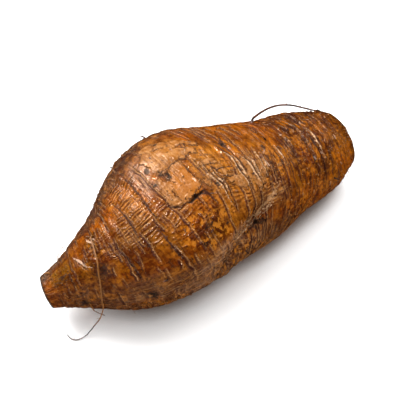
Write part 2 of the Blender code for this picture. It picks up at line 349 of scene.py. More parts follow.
def ring_hold(number, deepest, angle):
    """How strongly a growth ring is marked at an angle."""
    hold = 0.58 + 0.42 * np.cos(np.radians(angle - deepest))
    return hold + 0.16 * np.sin(np.radians(4.0 * angle) + 2.4 * number)


def growth_rings(ring, angle):
    """Grooves round the root, each with a raised ridge just ahead of it."""
    total = 0.0
    for number, (place, depth, deepest) in enumerate(GROWTH_RINGS):
        groove = np.exp(-((ring - place) / GROOVE_WIDTH) ** 2)
        ridge = RIDGE_SHARE * np.exp(-((ring - place - RIDGE_OFFSET) / RIDGE_WIDTH) ** 2)
        total = total + depth * ring_hold(number, deepest, angle) * (ridge - groove)
    return total


def swellings(ring, angle):
    """Broad, low swellings, so that no side of the root is plain."""
    total = 0.0
    for height, around, along, phase in SWELLINGS:
        wave = around * np.radians(angle) + along * 2.0 * np.pi * ring / ROOT_LENGTH + phase
        total = total + height * np.sin(wave)
    return total


def calm(ring, angle):
    """How much relief a place may have: it fades at the ends and where the root rests."""
    from_underside = np.abs((angle % 360.0) - 180.0)
    resting = (1.0 - ease(from_underside, 12.0, 30.0)) * ease(ring, 70.0, 95.0)
    ends = ease(ring, 0.0, 7.0) * (1.0 - ease(ring, ROOT_LENGTH - 6.0, ROOT_LENGTH))
    rest = 1.0 - 0.9 * resting * (1.0 - ease(ring, 180.0, 205.0))
    return rest * (0.25 + 0.75 * ends)


def fold(ring, angle):
    """Height of the fold beside the belly and of its lip."""
    lip = stroke(FOLD_LIP, FOLD_LIP_WIDTH, ring, angle)
    return lip - stroke(FOLD_CREASE, FOLD_WIDTH, ring, angle)


def relief(ring, angle):
    """Height of the solid's skin above the plain form."""
    height = growth_rings(ring, angle) + swellings(ring, angle) + fold(ring, angle)
    return height * calm(ring, angle)


def place_on_form(ring, angle, height):
    """Points at a height above the plain form of the root."""
    ring = np.asarray(ring, dtype=float)
    angle = np.asarray(angle, dtype=float)
    along = ring_place(ring, angle)
    table = np.array(SECTIONS)
    half_width = smooth_through(table[:, 0], table[:, 3], along)
    half_height = smooth_through(table[:, 0], table[:, 4], along)
    _, front, up = section_axes(along)
    forward = ((half_width + height) * np.sin(np.radians(angle)))[..., None] * front
    upward = ((half_height + height) * np.cos(np.radians(angle)))[..., None] * up
    points = centre_line(along) + forward + upward
    points[..., 2] = np.maximum(points[..., 2] - FLAT_SPOT_DEPTH, 0.0)
    return points


def skin(ring, angle, lift=0.0):
    """Points lifted off the solid's skin by a distance."""
    ring = np.asarray(ring, dtype=float)
    angle = np.asarray(angle, dtype=float)
    return place_on_form(ring, angle, relief(ring, angle) + lift)


# Random values

def dice(cell, seed):
    """A fixed number from 0 to 1 for each cell of whole numbers."""
    key = cell[..., 0] * 73856093 ^ cell[..., 1] * 19349663 ^ cell[..., 2] * 83492791
    key = (key + seed * 2654435761) & 0xFFFFFFFF
    key = ((key ^ key >> 15) * 73244475) & 0xFFFFFFFF
    key = ((key ^ key >> 13) * 73244475) & 0xFFFFFFFF
    return (key ^ key >> 16) / 0xFFFFFFFF


def grain(spot, size, seed):
    """Smooth random values from -1 to 1 which change over about the given size."""
    spot = spot / np.asarray(size, dtype=float) + seed * 7.31
    cell = np.floor(spot).astype(np.int64)
    share = spot - cell
    share = share * share * (3.0 - 2.0 * share)
    total = 0.0
    for corner in itertools.product((0, 1), repeat=3):
        weight = np.prod(np.where(corner, share, 1.0 - share), axis=-1)
        total = total + weight * dice(cell + np.array(corner), seed)
    return 2.0 * total - 1.0


def rough(spot, size, seed, layers=3):
    """Random values from -1 to 1 with finer detail added in each layer."""
    total = 0.0
    share = 0.5
    size = np.asarray(size, dtype=float)
    for layer in range(layers):
        total = total + share * grain(spot, size * 0.5 ** layer, seed + layer * 17)
        share = share * 0.55
    return total * 1.6


def cells(spot, size, seed):
    """Distances, in cells, to the nearest and the second nearest of one point for each cell."""
    spot = spot / np.asarray(size, dtype=float)
    cell = np.floor(spot).astype(np.int64)
    first = np.full(spot.shape[:-1], 9.0)
    second = first.copy()
    for step in itertools.product((-1, 0, 1), repeat=3):
        corner = cell + np.array(step)
        point = corner + np.stack([dice(corner, seed + axis) for axis in range(3)], axis=-1)
        gap = np.linalg.norm(spot - point, axis=-1)
        second = np.minimum(second, np.maximum(first, gap))
        first = np.minimum(first, gap)
    return first, second


# Bark: where its marks lie. Places are along the root in millimetres, and angles are degrees
# round it, from its top towards its front.

# Soft-edged areas of colour: place, angle, reach along, reach round in degrees, and strength
AREAS = {
    # dry outer skin, pale and papery
    "paper": (
        (100, -17, 11, 14, 1), (95, 12, 9.5, 13.5, 0.75), (114, 18, 10, 22, 0.75),
        (134, 26, 13, 15, 0.85), (147, 30, 9, 16, 0.4), (84, 24, 8, 7, 0.35),
        (70, -2, 9, 20, 0.25), (106, 74, 9, 9, 0.5), (112, 44, 14, 9, 0.3), (160, 25, 8, 12, 0.4),
        (229, 30, 8, 22, 0.35), (62, 16, 7, 8, 0.35), (130, -95, 18, 16, 0.6),
        (75, -140, 15, 20, 0.5), (190, 150, 14, 20, 0.45), (165, -150, 12, 25, 0.5),
    ),
    # painted reflection of the key lamp: a bluish gloss where the skin is smooth and wet
    "painted_reflection": (
        (84.5, -14, 4.2, 13, 1), (91, -22, 4, 6, 0.3), (87, 1, 2, 4, 0.5), (138, 24, 2.6, 7, 0.7),
        (147, 22, 1.8, 5, 0.8), (132.5, 16, 1.6, 6, 0.4),
    ),
    # thin grey film of torn skin below the fold
    "film": (
        (110, 73, 9, 7, 1), (98, 76, 10, 9, 1), (88, 82, 10, 10, 0.9), (78, 92, 10, 12, 0.8),
        (128, 84, 8, 7, 0.6), (120, 66, 6, 4, 0.6),
    ),
    # yellow brown
    "ochre": (
        (16, 8, 8, 20, 0.9), (48, 40, 8, 14, 0.5), (56, 96, 9, 12, 0.6), (72, 40, 9, 12, 0.4),
        (118, 55, 8, 10, 0.45), (170, 45, 9, 14, 0.5), (212, 60, 10, 15, 0.4), (95, 60, 8, 8, 0.4),
        (210, -25, 14, 16, 0.5),
    ),
    # golden brown, where the skin is thin and clear
    "golden": (
        (119, 14, 10, 26, 1), (135, 4, 12, 14, 0.5), (152, 6, 12, 16, 0.5), (98, 10, 7, 14, 0.7),
        (128, 46, 12, 12, 0.6), (110, 52, 8, 10, 0.7), (140, -24, 20, 20, 0.25),
        (226, 38, 12, 32, 1), (206, 52, 5, 22, 0.6), (212, 68, 14, 16, 0.8), (169, 23, 8, 9, 0.7),
        (70, 8, 5, 22, 0.5), (196, 50, 3, 20, 0.6), (130, 130, 40, 30, 0.5),
        (130, -110, 40, 24, 0.5),
    ),
    # orange brown, where the wet inner bark shows
    "rust": (
        (185, 50, 9, 13, 1), (202, 66, 16, 12, 0.8), (176, 65, 9, 9, 0.8), (98, 12, 8, 14, 1),
        (160, -12, 15, 16, 0.5), (225, 56, 12, 24, 0.9), (88, 44, 8, 8, 0.8), (128, 8, 7, 9, 0.5),
        (78, 70, 9, 16, 0.5), (45, 30, 10, 16, 0.5), (170, 0, 8, 12, 0.6), (95, 40, 12, 10, 0.45),
        (30, 20, 8, 20, 0.5), (232, 10, 8, 25, 0.5), (150, 60, 12, 9, 0.4),
        (60, -20, 10, 16, 0.35), (110, 150, 25, 20, 0.4), (150, -120, 20, 20, 0.4),
    ),
    # red brown, where the wet skin is thin
    "mahogany": (
        (52, 26, 20, 26, 1), (24, 40, 12, 22, 0.7), (64, 62, 16, 14, 0.6), (175, -20, 14, 14, 0.5),
        (212, 0, 10, 20, 0.4),
    ),
    # grey brown film of dried soil, and painted shade along the upper back edge and low on the front
    "dust_and_painted_shade": (
        (12, -48, 16, 30, 1), (45, -46, 22, 20, 1), (72, -57, 20, 22, 1), (86, -45, 20, 20, 1),
        (107, -50, 14, 17, 1), (122, -54, 14, 12, 0.7), (28, 66, 20, 22, 0.75),
        (30, 98, 24, 24, 0.9), (52, 74, 16, 20, 0.9), (84, 92, 24, 22, 0.8), (148, 52, 10, 9, 0.5),
        (10, 62, 10, 30, 0.4), (97, -40, 5, 5, 0.6), (120, 178, 60, 34, 0.75),
        (215, 120, 22, 36, 0.5), (195, 75, 10, 8, 0.3), (122, -8, 7, 8, 0.45),
        (215, 18, 4, 12, 0.4),
    ),
    # dark grey soil
    "soil": (
        (3, -36, 9, 24, 1), (3, -14, 6, 20, 0.8), (14, -26, 16, 12, 0.6), (14, -44, 12, 22, 0.9),
        (30, -44, 12, 16, 0.6), (92, -50, 22, 14, 0.5), (41, 33, 6, 9, 0.6),
        (60, -46, 16, 14, 0.5),
    ),
    # purple brown blotches drawn out round the root
    "blotchy": (
        (195, 10, 45, 70, 0.8), (205, -18, 32, 26, 1), (165, 60, 25, 25, 0.6),
        (200, -120, 40, 50, 0.7), (60, 90, 20, 14, 0.5), (120, 92, 26, 14, 0.7),
    ),
    # grey brown threads
    "fibrous": (
        (85, 84, 28, 16, 1), (142, 48, 12, 8, 0.8), (120, 73, 20, 8, 0.9), (60, 76, 16, 14, 0.6),
        (120, 100, 60, 22, 0.7), (110, 170, 90, 50, 0.8), (12, -48, 14, 26, 0.5),
        (100, -100, 50, 30, 0.4),
    ),
    # dark brown, and painted shade low on the front, the back and the underside
    "umber_and_painted_shade": (
        (189, 0, 12, 22, 0.95), (41, 0, 5, 22, 0.85), (56, 40, 3.5, 22, 0.6),
        (54, -36, 12, 12, 0.5), (27, 61, 14, 16, 0.8), (235, -20, 7, 40, 0.5),
        (74, 46, 3.5, 18, 0.5), (200, 30, 8, 24, 0.4), (140, 66, 14, 9, 0.3), (139, 45, 6, 6, 0.6),
        (22, 15, 12, 30, 0.4), (181, 7, 8, 12, 0.8), (120, 92, 20, 16, 0.6),
        (100, 108, 20, 12, 0.7), (25, 96, 9, 14, 0.6), (138, 47, 9, 8, 0.6), (95, 55, 9, 8, 0.8),
        (84, 60, 8, 8, 0.5), (54, 86, 50, 24, 1), (210, -20, 34, 28, 1), (145, 88, 30, 16, 1),
        (33, 30, 10, 18, 0.9), (150, 55, 16, 10, 0.8), (113, 60, 8, 6, 0.6), (60, 24, 14, 24, 0.7),
        (192, 45, 2.4, 26, 0.9), (201.4, 46, 2.4, 26, 0.9), (212, 46, 2.2, 24, 0.8),
        (183, 48, 2, 20, 0.7), (178, 6, 10, 14, 0.6), (26, 48, 16, 20, 0.6), (44, 62, 10, 12, 0.4),
        (222, -50, 20, 20, 0.5), (105, -62, 40, 12, 0.3), (160, 110, 30, 20, 0.5),
        (60, 150, 30, 26, 0.5), (205, -110, 18, 22, 0.5), (60, -110, 18, 16, 0.5),
    ),
}

# Outlines of dry outer skin that still clings to the belly, in order round each. The first lies
# over the others. Places are along the root and round it, and the last number is the thickness.
FLAKES = (
    (((93.4, -26.6), (98.8, -21.8), (104.8, -14), (109.8, -11.4), (114.6, -5.6), (113, -1),
      (109.6, -4), (107.6, -1.2), (103.6, -3), (99.2, -2.8), (95, -0.6), (91.4, -3.8),
      (91.6, -7.6), (92.2, -13.2), (90.2, -20)), 0.75),
    (((98.6, -4.2), (104.4, -1.4), (104.4, 4.6), (103.4, 9.2), (104, 14.2), (104.2, 21.2),
      (102.4, 22.6), (98.2, 24.2), (93.6, 24.6), (91, 17), (91.4, 10), (93.4, 4.4),
      (97.2, -0.2)), 0.35),
    (((89.8, -3.6), (91.8, 3.8), (89.6, 11.2), (90.2, 20.4), (92.8, 25.6), (88.6, 24.2),
      (85.8, 19.8), (84.4, 14.6), (86.2, 11), (86.8, 3.4)), 0.6),
    (((97, -33), (104, -27), (112, -19), (118, -11), (117, -7), (111, -14), (105, -18), (98, -25),
      (93.5, -29)), 0.4),
)

# Nearly black spots on the skin, and holes and the fold's pocket painted nearly black as their shade:
# place, angle, reach along, reach round, and depth
PITS = (
    (40, -15, 1.6, 3, 0.4), (40.4, 31, 3.2, 9, 0.4), (22.5, 90, 3, 8, 0.55),
    (56, 79, 2.8, 6.5, 0.6), (59.6, -14.6, 0.9, 1, 0.6), (88.6, -13, 1.8, 2.6, 0.7),
    (93, -4.5, 1.4, 2.4, 0.6), (86.5, -2, 1.2, 4, 0.5), (102, -26, 1.5, 1.4, 0.8),
    (69.4, 55.8, 0.8, 3, 0.4), (87, 58, 1.6, 2.4, 0.5), (94, 48, 5, 2.6, 0.4),
    (105.5, 55, 1.8, 3, 0.4), (112, 28, 1.2, 1.8, 0.6), (128, 20, 1, 1.6, 0.5),
    (152, 9.6, 2, 2.2, 0.5), (147, 0, 2, 2.5, 0.3), (98.6, 26.8, 4.6, 1.3, 0.9),
    (133.5, 68.2, 5.5, 3, 0.6), (128.6, 71.2, 3.5, 2.2, 0.5), (130.2, -5, 1.6, 1.6, 0.6),
    (200, 20.5, 1.2, 5.5, 0.8), (95, 1.5, 1.2, 4.5, 0.5), (206, -8, 2.4, 4, 0.5),
    (184, -6, 2.6, 5, 0.4), (171, 27, 1.6, 3, 0.4), (66, 31, 1, 1.6, 0.4),
)

# Cracks and creases, darkened with painted shade: width, then points of place, angle and depth
CRACKS = (
    (0.7, ((113.2, 9.2, 0.6), (114.8, 13.2, 0.9), (116.2, 17.8, 1), (121.6, 17.4, 0.9),
           (128.6, 17.6, 0.6))),
    (0.7, ((116.2, 17.8, 0.9), (117.2, 23.8, 1), (120.4, 25.4, 0.9), (125.2, 24.8, 0.6))),
    (0.9, ((103.4, 27.4, 1), (104.8, 30, 1.3), (105.2, 34, 1.2), (105.6, 39, 0.7))),
    (0.9, ((136.6, -21, 0.5), (133, -14, 0.9), (131.2, -9.4, 1.1), (130, -5, 1.3),
           (129.8, 3.8, 0.9), (131, 13, 0.9), (132.2, 22.2, 0.8), (131, 28.6, 0.5))),
    (0.8, ((126, -9, 0.5), (130, -5.5, 1.1), (134, -1.5, 0.5))),
    (0.75, ((90, -5.5, 0.5), (94, -4.4, 0.9), (99, -2.8, 1), (103, -2.6, 0.8),
            (109.4, -4.4, 0.4))),
    (0.8, ((109.8, -13.5, 0.7), (110.8, -10.5, 0.9), (111.8, -7.6, 0.5))),
    (0.55, ((82.5, 15, 0.5), (84.8, 18.8, 0.9), (86.6, 22, 1), (90.4, 25.8, 0.5),
            (94.5, 27.4, 0.6), (99, 27, 1.3), (103, 28.4, 0.9), (104.8, 31.8, 1),
            (105.8, 38.8, 0.4), (107, 46, 0.1))),
    (0.7, ((93.6, -1, 0.5), (93.2, 4, 0.8), (95.2, 9, 0.7), (94.4, 12, 0.3))),
    (0.8, ((103.6, -1, 0.6), (104.2, 6, 0.9), (104.6, 14, 0.9), (105.4, 21, 0.5))),
    (0.7, ((64, -22, 0.7), (64.6, -8, 0.9), (64.6, 8, 1), (64, 20, 0.7), (63, 32, 0.3))),
    (0.6, ((66.4, -16, 0.5), (66.6, 0, 0.7), (66, 14, 0.5))),
    (0.8, ((53.6, 18, 0.7), (54.4, 34, 1), (55.4, 48, 0.9), (55, 62, 0.4))),
    (0.7, ((57, 22, 0.4), (57.6, 40, 0.8), (58.4, 56, 0.5))),
    (0.8, ((73.4, 20, 0.6), (73.8, 38, 1), (74.8, 56, 0.8), (75.4, 68, 0.3))),
    (0.7, ((81.4, -38, 0.6), (78.4, -22, 0.9), (77.2, -6, 1), (76.2, 8, 1), (76, 18, 0.8))),
    (0.55, ((83, -30, 0.3), (80.2, -16, 0.6), (79.2, 0, 0.7), (78.4, 14, 0.5))),
    (0.65, ((112.2, 5, 0.5), (111.9, 20, 1), (113.8, 30, 1), (114, 43, 0.9), (115.2, 51, 0.5))),
    (0.6, ((114.4, 9, 0.4), (114.2, 20, 0.9), (116.2, 32, 0.9), (116.4, 46, 0.5))),
    (0.7, ((125.4, -4, 0.9), (125.8, 1, 1.1), (128.4, 10.6, 1), (129, 24, 1), (130.2, 31, 0.9),
           (131, 42, 0.4))),
    (0.6, ((128.8, 7, 0.4), (130.8, 14, 0.9), (131.4, 25, 0.8), (132.2, 35, 0.4))),
    (0.65, ((132.4, 7, 0.6), (137.2, 18, 1), (137.7, 27, 1), (139, 36, 0.9), (139.4, 46, 0.4))),
    (0.6, ((135.2, 9, 0.4), (139.8, 18, 0.9), (140.2, 28, 0.9), (141.4, 39, 0.5))),
    (0.65, ((145.2, 8, 0.5), (145, 20, 1), (145.6, 31, 0.9), (146.6, 42, 0.5))),
    (0.6, ((148.4, 11, 0.4), (148.2, 24, 0.9), (149, 35, 0.5))),
    (0.75, ((148.6, 8, 0.6), (150.4, 20, 1), (151.6, 32, 0.9), (152, 44, 0.5))),
    (0.7, ((158.6, 2, 0.5), (159.4, 14, 1), (160, 26, 0.9), (159.6, 38, 0.4))),
    (0.65, ((169, 6, 0.5), (169.6, 18, 0.8), (169, 30, 0.5))),
    (0.8, ((174.6, -6, 0.6), (175.4, 10, 1), (175.2, 26, 0.9), (174, 44, 0.4))),
    (0.8, ((192.6, -10, 0.5), (192, 10, 0.8), (192, 30, 0.8), (191, 52, 0.5))),
    (0.9, ((202.2, -6, 0.8), (201.4, 14, 1.3), (201.4, 30, 1.1), (202.6, 56, 0.7))),
    (0.7, ((212.4, 6, 0.5), (212.6, 26, 0.8), (213, 50, 0.6))),
    (0.7, ((33.4, -10, 0.5), (33.8, 4, 0.8), (34.6, 16, 0.6), (36, 30, 0.3))),
    (0.8, ((26, 0, 0.4), (27.6, 8, 0.8), (29.4, 16, 0.8), (32.6, 26, 0.6))),
    (0.8, ((140, 60, 0.4), (134, 65, 0.9), (127, 70.5, 1), (117, 76, 0.7), (104, 86, 0.6),
           (97, 95, 0.8), (92, 108, 0.5))),
)

# Worn ridges, pale partly from wear and partly from a painted highlight where they catch the light:
# width, then points of place, angle and height
RIDGES = (
    (0.95, ((51, -20, 0.5), (51.4, -6, 0.8), (51, 8, 0.5))),
    (0.95, ((60.6, -22, 0.3), (61.2, -8, 0.6), (61, 2, 0.3))),
    (0.95, ((111, 6, 0.5), (110.7, 20, 0.9), (112.6, 30, 0.9), (112.8, 43, 0.8), (114, 50, 0.4))),
    (0.95, ((113.3, 8, 0.4), (113, 20, 0.9), (115, 31, 0.9), (115.2, 44, 0.4))),
    (0.95, ((124.2, 0, 0.5), (127.2, 10, 1), (127.8, 24, 1), (129, 32, 0.8), (129.6, 42, 0.4))),
    (0.95, ((127.4, 4, 0.4), (129.7, 12, 0.9), (130.2, 24, 0.9), (131.2, 33, 0.5))),
    (0.95, ((131.2, 7, 0.5), (136, 17, 1), (136.5, 27, 1), (137.8, 36, 0.6))),
    (0.95, ((133.9, 8, 0.4), (138.6, 17, 0.9), (139, 27, 0.9), (140.2, 37, 0.4))),
    (0.95, ((144, 8, 0.5), (143.9, 19, 1), (144.5, 30, 0.8), (145.5, 40, 0.4))),
    (0.95, ((147.3, 13, 0.5), (147, 22, 1), (147.9, 31, 0.5))),
    (0.95, ((160.6, 8, 0.5), (161.8, 18, 1), (161.8, 28, 0.6))),
    (0.95, ((170.8, 12, 0.3), (171.4, 22, 0.8), (170.8, 30, 0.3))),
    (0.95, ((176.8, 0, 0.4), (177.4, 12, 0.8), (177, 26, 0.4))),
    (0.95, ((203.8, -2, 0.5), (203.6, 14, 1), (203.8, 32, 0.8), (205, 56, 0.5))),
    (0.95, ((194.2, 0, 0.4), (194, 20, 0.7), (193.4, 44, 0.5))),
    (0.95, ((127, 68, 0.8), (120, 71.5, 1), (110, 75, 0.9), (99, 80, 0.5))),
    (0.95, ((150, 47, 0.5), (142, 55, 0.8), (133, 62, 0.9), (122, 67, 0.9), (112, 70, 0.5))),
    (0.95, ((148, 52, 0.4), (139, 60, 0.8), (131, 66.5, 0.9), (122, 70, 0.6))),
)

# Light threads that run over the lip of the fold, drawn the same way
STRANDS = (
    (0.85, ((153.6, 42, 0.4), (146.2, 48.5, 1), (137.4, 54.8, 1), (130, 62, 1), (124, 65.5, 0.9),
            (118.6, 66.5, 0.9), (108.8, 71.5, 0.5))),
    (0.85, ((151, 45.5, 0.4), (144, 51.5, 1), (136, 57.5, 1), (129, 64.5, 0.9), (118, 68.5, 1),
            (107, 73.5, 0.6))),
    (0.85, ((147, 52, 0.4), (140, 57, 0.9), (133, 62, 0.7))),
    (0.85, ((155, 40, 0.4), (149, 45, 0.9), (141, 51, 0.8), (134, 57, 0.5))),
    (0.85, ((127, 70, 0.6), (121, 70.5, 1), (112, 73.5, 1), (101, 76.5, 0.8), (93, 78.5, 0.4))),
    (0.85, ((136.5, 69.5, 0.5), (131, 70.5, 0.9), (126, 72.5, 0.6))),
    (0.85, ((124, 61, 0.4), (117, 64, 0.9), (108, 68.5, 0.9), (98, 72, 0.5))),
    (0.85, ((132, 76, 0.4), (122, 78, 0.8), (112, 81, 0.8), (102, 85, 0.4))),
)

# Painted highlights: pale strokes where the wet skin would glint, drawn the same way
PAINTED_GLINTS = (
    (1.1, ((25.8, -3.2, 0.6), (27.4, 3, 0.9), (29, 10, 1.25), (30.4, 16, 1.1), (32.4, 21, 0.85),
           (35.4, 24.4, 0.75))),
    (1, ((38.6, -15, 0.6), (39.6, -8, 1.1), (41.6, -1, 1), (43, 3, 0.6))),
    (1, ((41.2, -12, 0.8), (42.8, -6, 1), (44.6, 1, 0.7))),
    (0.85, ((51.6, -16, 0.4), (52.4, -8, 0.75), (53, 0, 0.7), (53.2, 6, 0.4))),
    (0.85, ((101.6, 12, 0.6), (103, 16, 1), (103.6, 20.5, 0.5))),
    (0.85, ((147.4, 16, 0.4), (149.2, 24, 0.9), (149.9, 31, 0.5))),
    (0.85, ((161, 12, 0.4), (161.7, 19, 0.9), (161.8, 25, 0.5))),
)

# Areas with fine wrinkles along the root: place, angle, reach along, reach round, and strength
WRINKLED = (
    (71, -12, 8, 32, 1), (70, 16, 6, 17, 1), (61, 9, 5, 15, 1), (76, 16, 11, 7, 0.8),
    (84, -14, 5, 16, 0.5), (88, 34, 14, 14, 0.7), (48, 10, 6, 20, 0.4), (145, 46, 10, 12, 0.9),
    (120, 40, 14, 10, 0.6), (85, 84, 26, 14, 0.7), (100, -90, 26, 22, 0.6),
    (160, -70, 20, 18, 0.5), (70, 200, 26, 30, 0.5),
)
# Areas with lumpy, mottled bark
LUMPY = (
    (93, 48, 16, 16, 1), (41, 6, 7, 12, 0.6), (150, 28, 12, 16, 0.8), (190, 30, 22, 30, 0.35),
    (112, 92, 24, 18, 0.9), (60, 100, 12, 12, 0.6), (180, 80, 30, 24, 0.4),
    (140, -140, 40, 40, 0.6), (50, -130, 20, 40, 0.6),
)

# Areas where the skin of the neck has dried and cracked into small plates
NECK_CRACKED = (
    (16, 26, 8, 16, 1), (12, -120, 8, 60, 0.8),
)

# Areas where scales of bark come loose
SCALY = (
    (160, 30, 40, 30, 0.8), (200, 40, 34, 60, 0.9), (120, 75, 30, 26, 1), (93, 46, 18, 18, 0.8),
    (42, 8, 12, 30, 0.8), (66, 80, 30, 26, 0.6), (105, 5, 16, 24, 0.35), (150, -90, 70, 40, 0.6),
    (120, 200, 90, 60, 0.5), (235, 60, 10, 200, 0.9),
)


def straight(ring, angle):
    """Places on the root as if it were a straight roller, for random values with no seam."""
    turn = np.radians(angle)
    return np.stack([ring, MEAN_RADIUS * np.sin(turn), MEAN_RADIUS * np.cos(turn)], axis=-1)


def wander(ring, angle, spot, size, seed, along, around):
    """Places moved at random along and round the root, so that the edges of marks are ragged."""
    return ring + along * rough(spot, size, seed), angle + around * rough(spot, size, seed + 1)


def area(patches, ring, angle, softness=0.55):
    """Strength of some soft-edged patches, each an oval on the skin."""
    total = np.zeros(ring.shape)
    for place, middle, along, around, strength in patches:
        inside = 1.0 - np.hypot((ring - place) / along, turned_from(angle, middle) / around)
        total = np.maximum(total, strength * ease(inside, -softness, softness))
    return total


def strokes(drawn, ring, angle):
    """The strongest of some drawn strokes at each place."""
    return np.max([stroke(points, width, ring, angle) for width, points in drawn], axis=0)


def inside_by(outline, ring, angle):
    """How far inside an outline on the skin each place is, in millimetres: negative outside."""
    corners = np.array(outline)
    middle = corners[:, 1].mean()
    corners = (corners - (0.0, middle)) * (1.0, DEGREE_ARC)
    spots = np.stack([ring, turned_from(angle, middle) * DEGREE_ARC], axis=-1)
    gap = np.full(ring.shape, np.inf)
    inside = np.zeros(ring.shape, dtype=bool)
    for start, end in zip(corners, np.roll(corners, -1, axis=0)):
        step = end - start
        share = np.clip(((spots - start) @ step) / (step @ step), 0.0, 1.0)
        gap = np.minimum(gap, np.linalg.norm(spots - start - share[..., None] * step, axis=-1))
        spans = (start[1] > spots[..., 1]) != (end[1] > spots[..., 1])
        slope = step[0] / (step[1] if step[1] else 1.0)
        inside ^= spans & (spots[..., 0] < start[0] + (spots[..., 1] - start[1]) * slope)
    return np.where(inside, gap, -gap)


def ring_lines(ring, angle, spot):
    """The fine lines that follow the growth rings, in sets. For each set: how far past its
    nearest line each place is, in millimetres, and how strongly that line is marked there."""
    draw = random.Random(SEED)
    sets = []
    for set_number, (offsets, breaks) in enumerate(LINE_SETS):
        gaps = np.full(ring.shape, NO_LINE)
        holds = np.zeros(ring.shape)
        for number, (place, depth, deepest) in enumerate(GROWTH_RINGS):
            near = np.abs(ring - place) < LINE_REACH
            seed = 40 + number * 5 + set_number
            come = ease(grain(spot[near], LINE_BREAK_SIZE, seed), breaks, breaks + 0.45)
            bend = LINE_BEND * grain(spot[near], LINE_BEND_SIZE, seed + 300)
            gap = ring[near] - place - draw.uniform(*offsets) - bend
            hold = come * (0.42 + 0.6 * depth * ring_hold(number, deepest, angle[near]))
            hold = hold * (1.0 - ease(np.abs(gap), 1.8, 2.8))
            closer = np.abs(gap) < np.abs(gaps[near])
            gaps[near] = np.where(closer, gap, gaps[near])
            holds[near] = np.where(closer, hold, holds[near])
        sets.append((gaps, holds))
    return sets


def wrinkle_bands(ring, spot):
    """Wrinkles along the root start afresh in each band between growth rings: how far those at
    each place are shifted, in radians, and how high they stand."""
    edges = np.array([place for place, _, _ in GROWTH_RINGS])
    band = np.searchsorted(edges, ring)
    bounds = np.concatenate([[0.0], edges, [ROOT_LENGTH]])
    share = (ring - bounds[band]) / (bounds[band + 1] - bounds[band])
    shifted = spot + band[..., None] * np.array(BAND_SHIFT)
    sway = 3.6 * grain(shifted, (5.5, 4.5, 4.5), 21) + 1.3 * grain(shifted, (2.8, 2.4, 2.4), 22)
    tall = 0.8 + 0.9 * grain(shifted, (5.0, 3.6, 3.6), 23)
    return sway + band * BAND_TURN, tall * np.sin(np.pi * np.clip(share, 0.0, 1.0)) ** 0.5


def flakes(ring, angle, spot, paper):
    """How far inside a dry flake each place is, in millimetres, and how thick the flake is.
    Besides the drawn flakes there are scraps where the skin is papery."""
    inside = 10.0 * (0.8 * paper + 0.42 * rough(spot, 6.0, 61) - 0.56)
    thick = SCRAP_THICKNESS * ease(inside, -0.5, 0.5)
    torn_edge_and_painted_glint = wander(ring, angle, spot, *FLAKE_WANDER)
    for outline, thickness in FLAKES:
        within = inside_by(outline, *torn_edge_and_painted_glint)
        inside = np.maximum(inside, within)
        thick = np.maximum(thick, thickness * ease(within, -0.5, 0.4))
    return inside, thick


def line_relief(sets):
    """Height of the ring lines: a groove on each, and a cord just past it."""
    total = 0.0
    for gaps, holds in sets:
        total = total - LINE_DEPTH * holds * np.exp(-(gaps / LINE_WIDTH) ** 2)
        total = total + CORD_HEIGHT * holds * np.exp(-((gaps - CORD_OFFSET) / LINE_WIDTH) ** 2)
    return total


def cut_rims(ring, edge_ring, spot, behind):
    """Dark skin beside both cuts, and the nearly black rim of the neck's cut."""
    far = [ROOT_LENGTH - off - more * behind for off, more in zip(FAR_RIM, FAR_RIM_BEHIND)]
    dark = 1.0 - ease(ring, *NECK_RIM) + ease(edge_ring, *far)
    return dark, 1.0 - ease(ring + 0.5 * rough(spot, 3.0, 9), *BLACK_RIM)


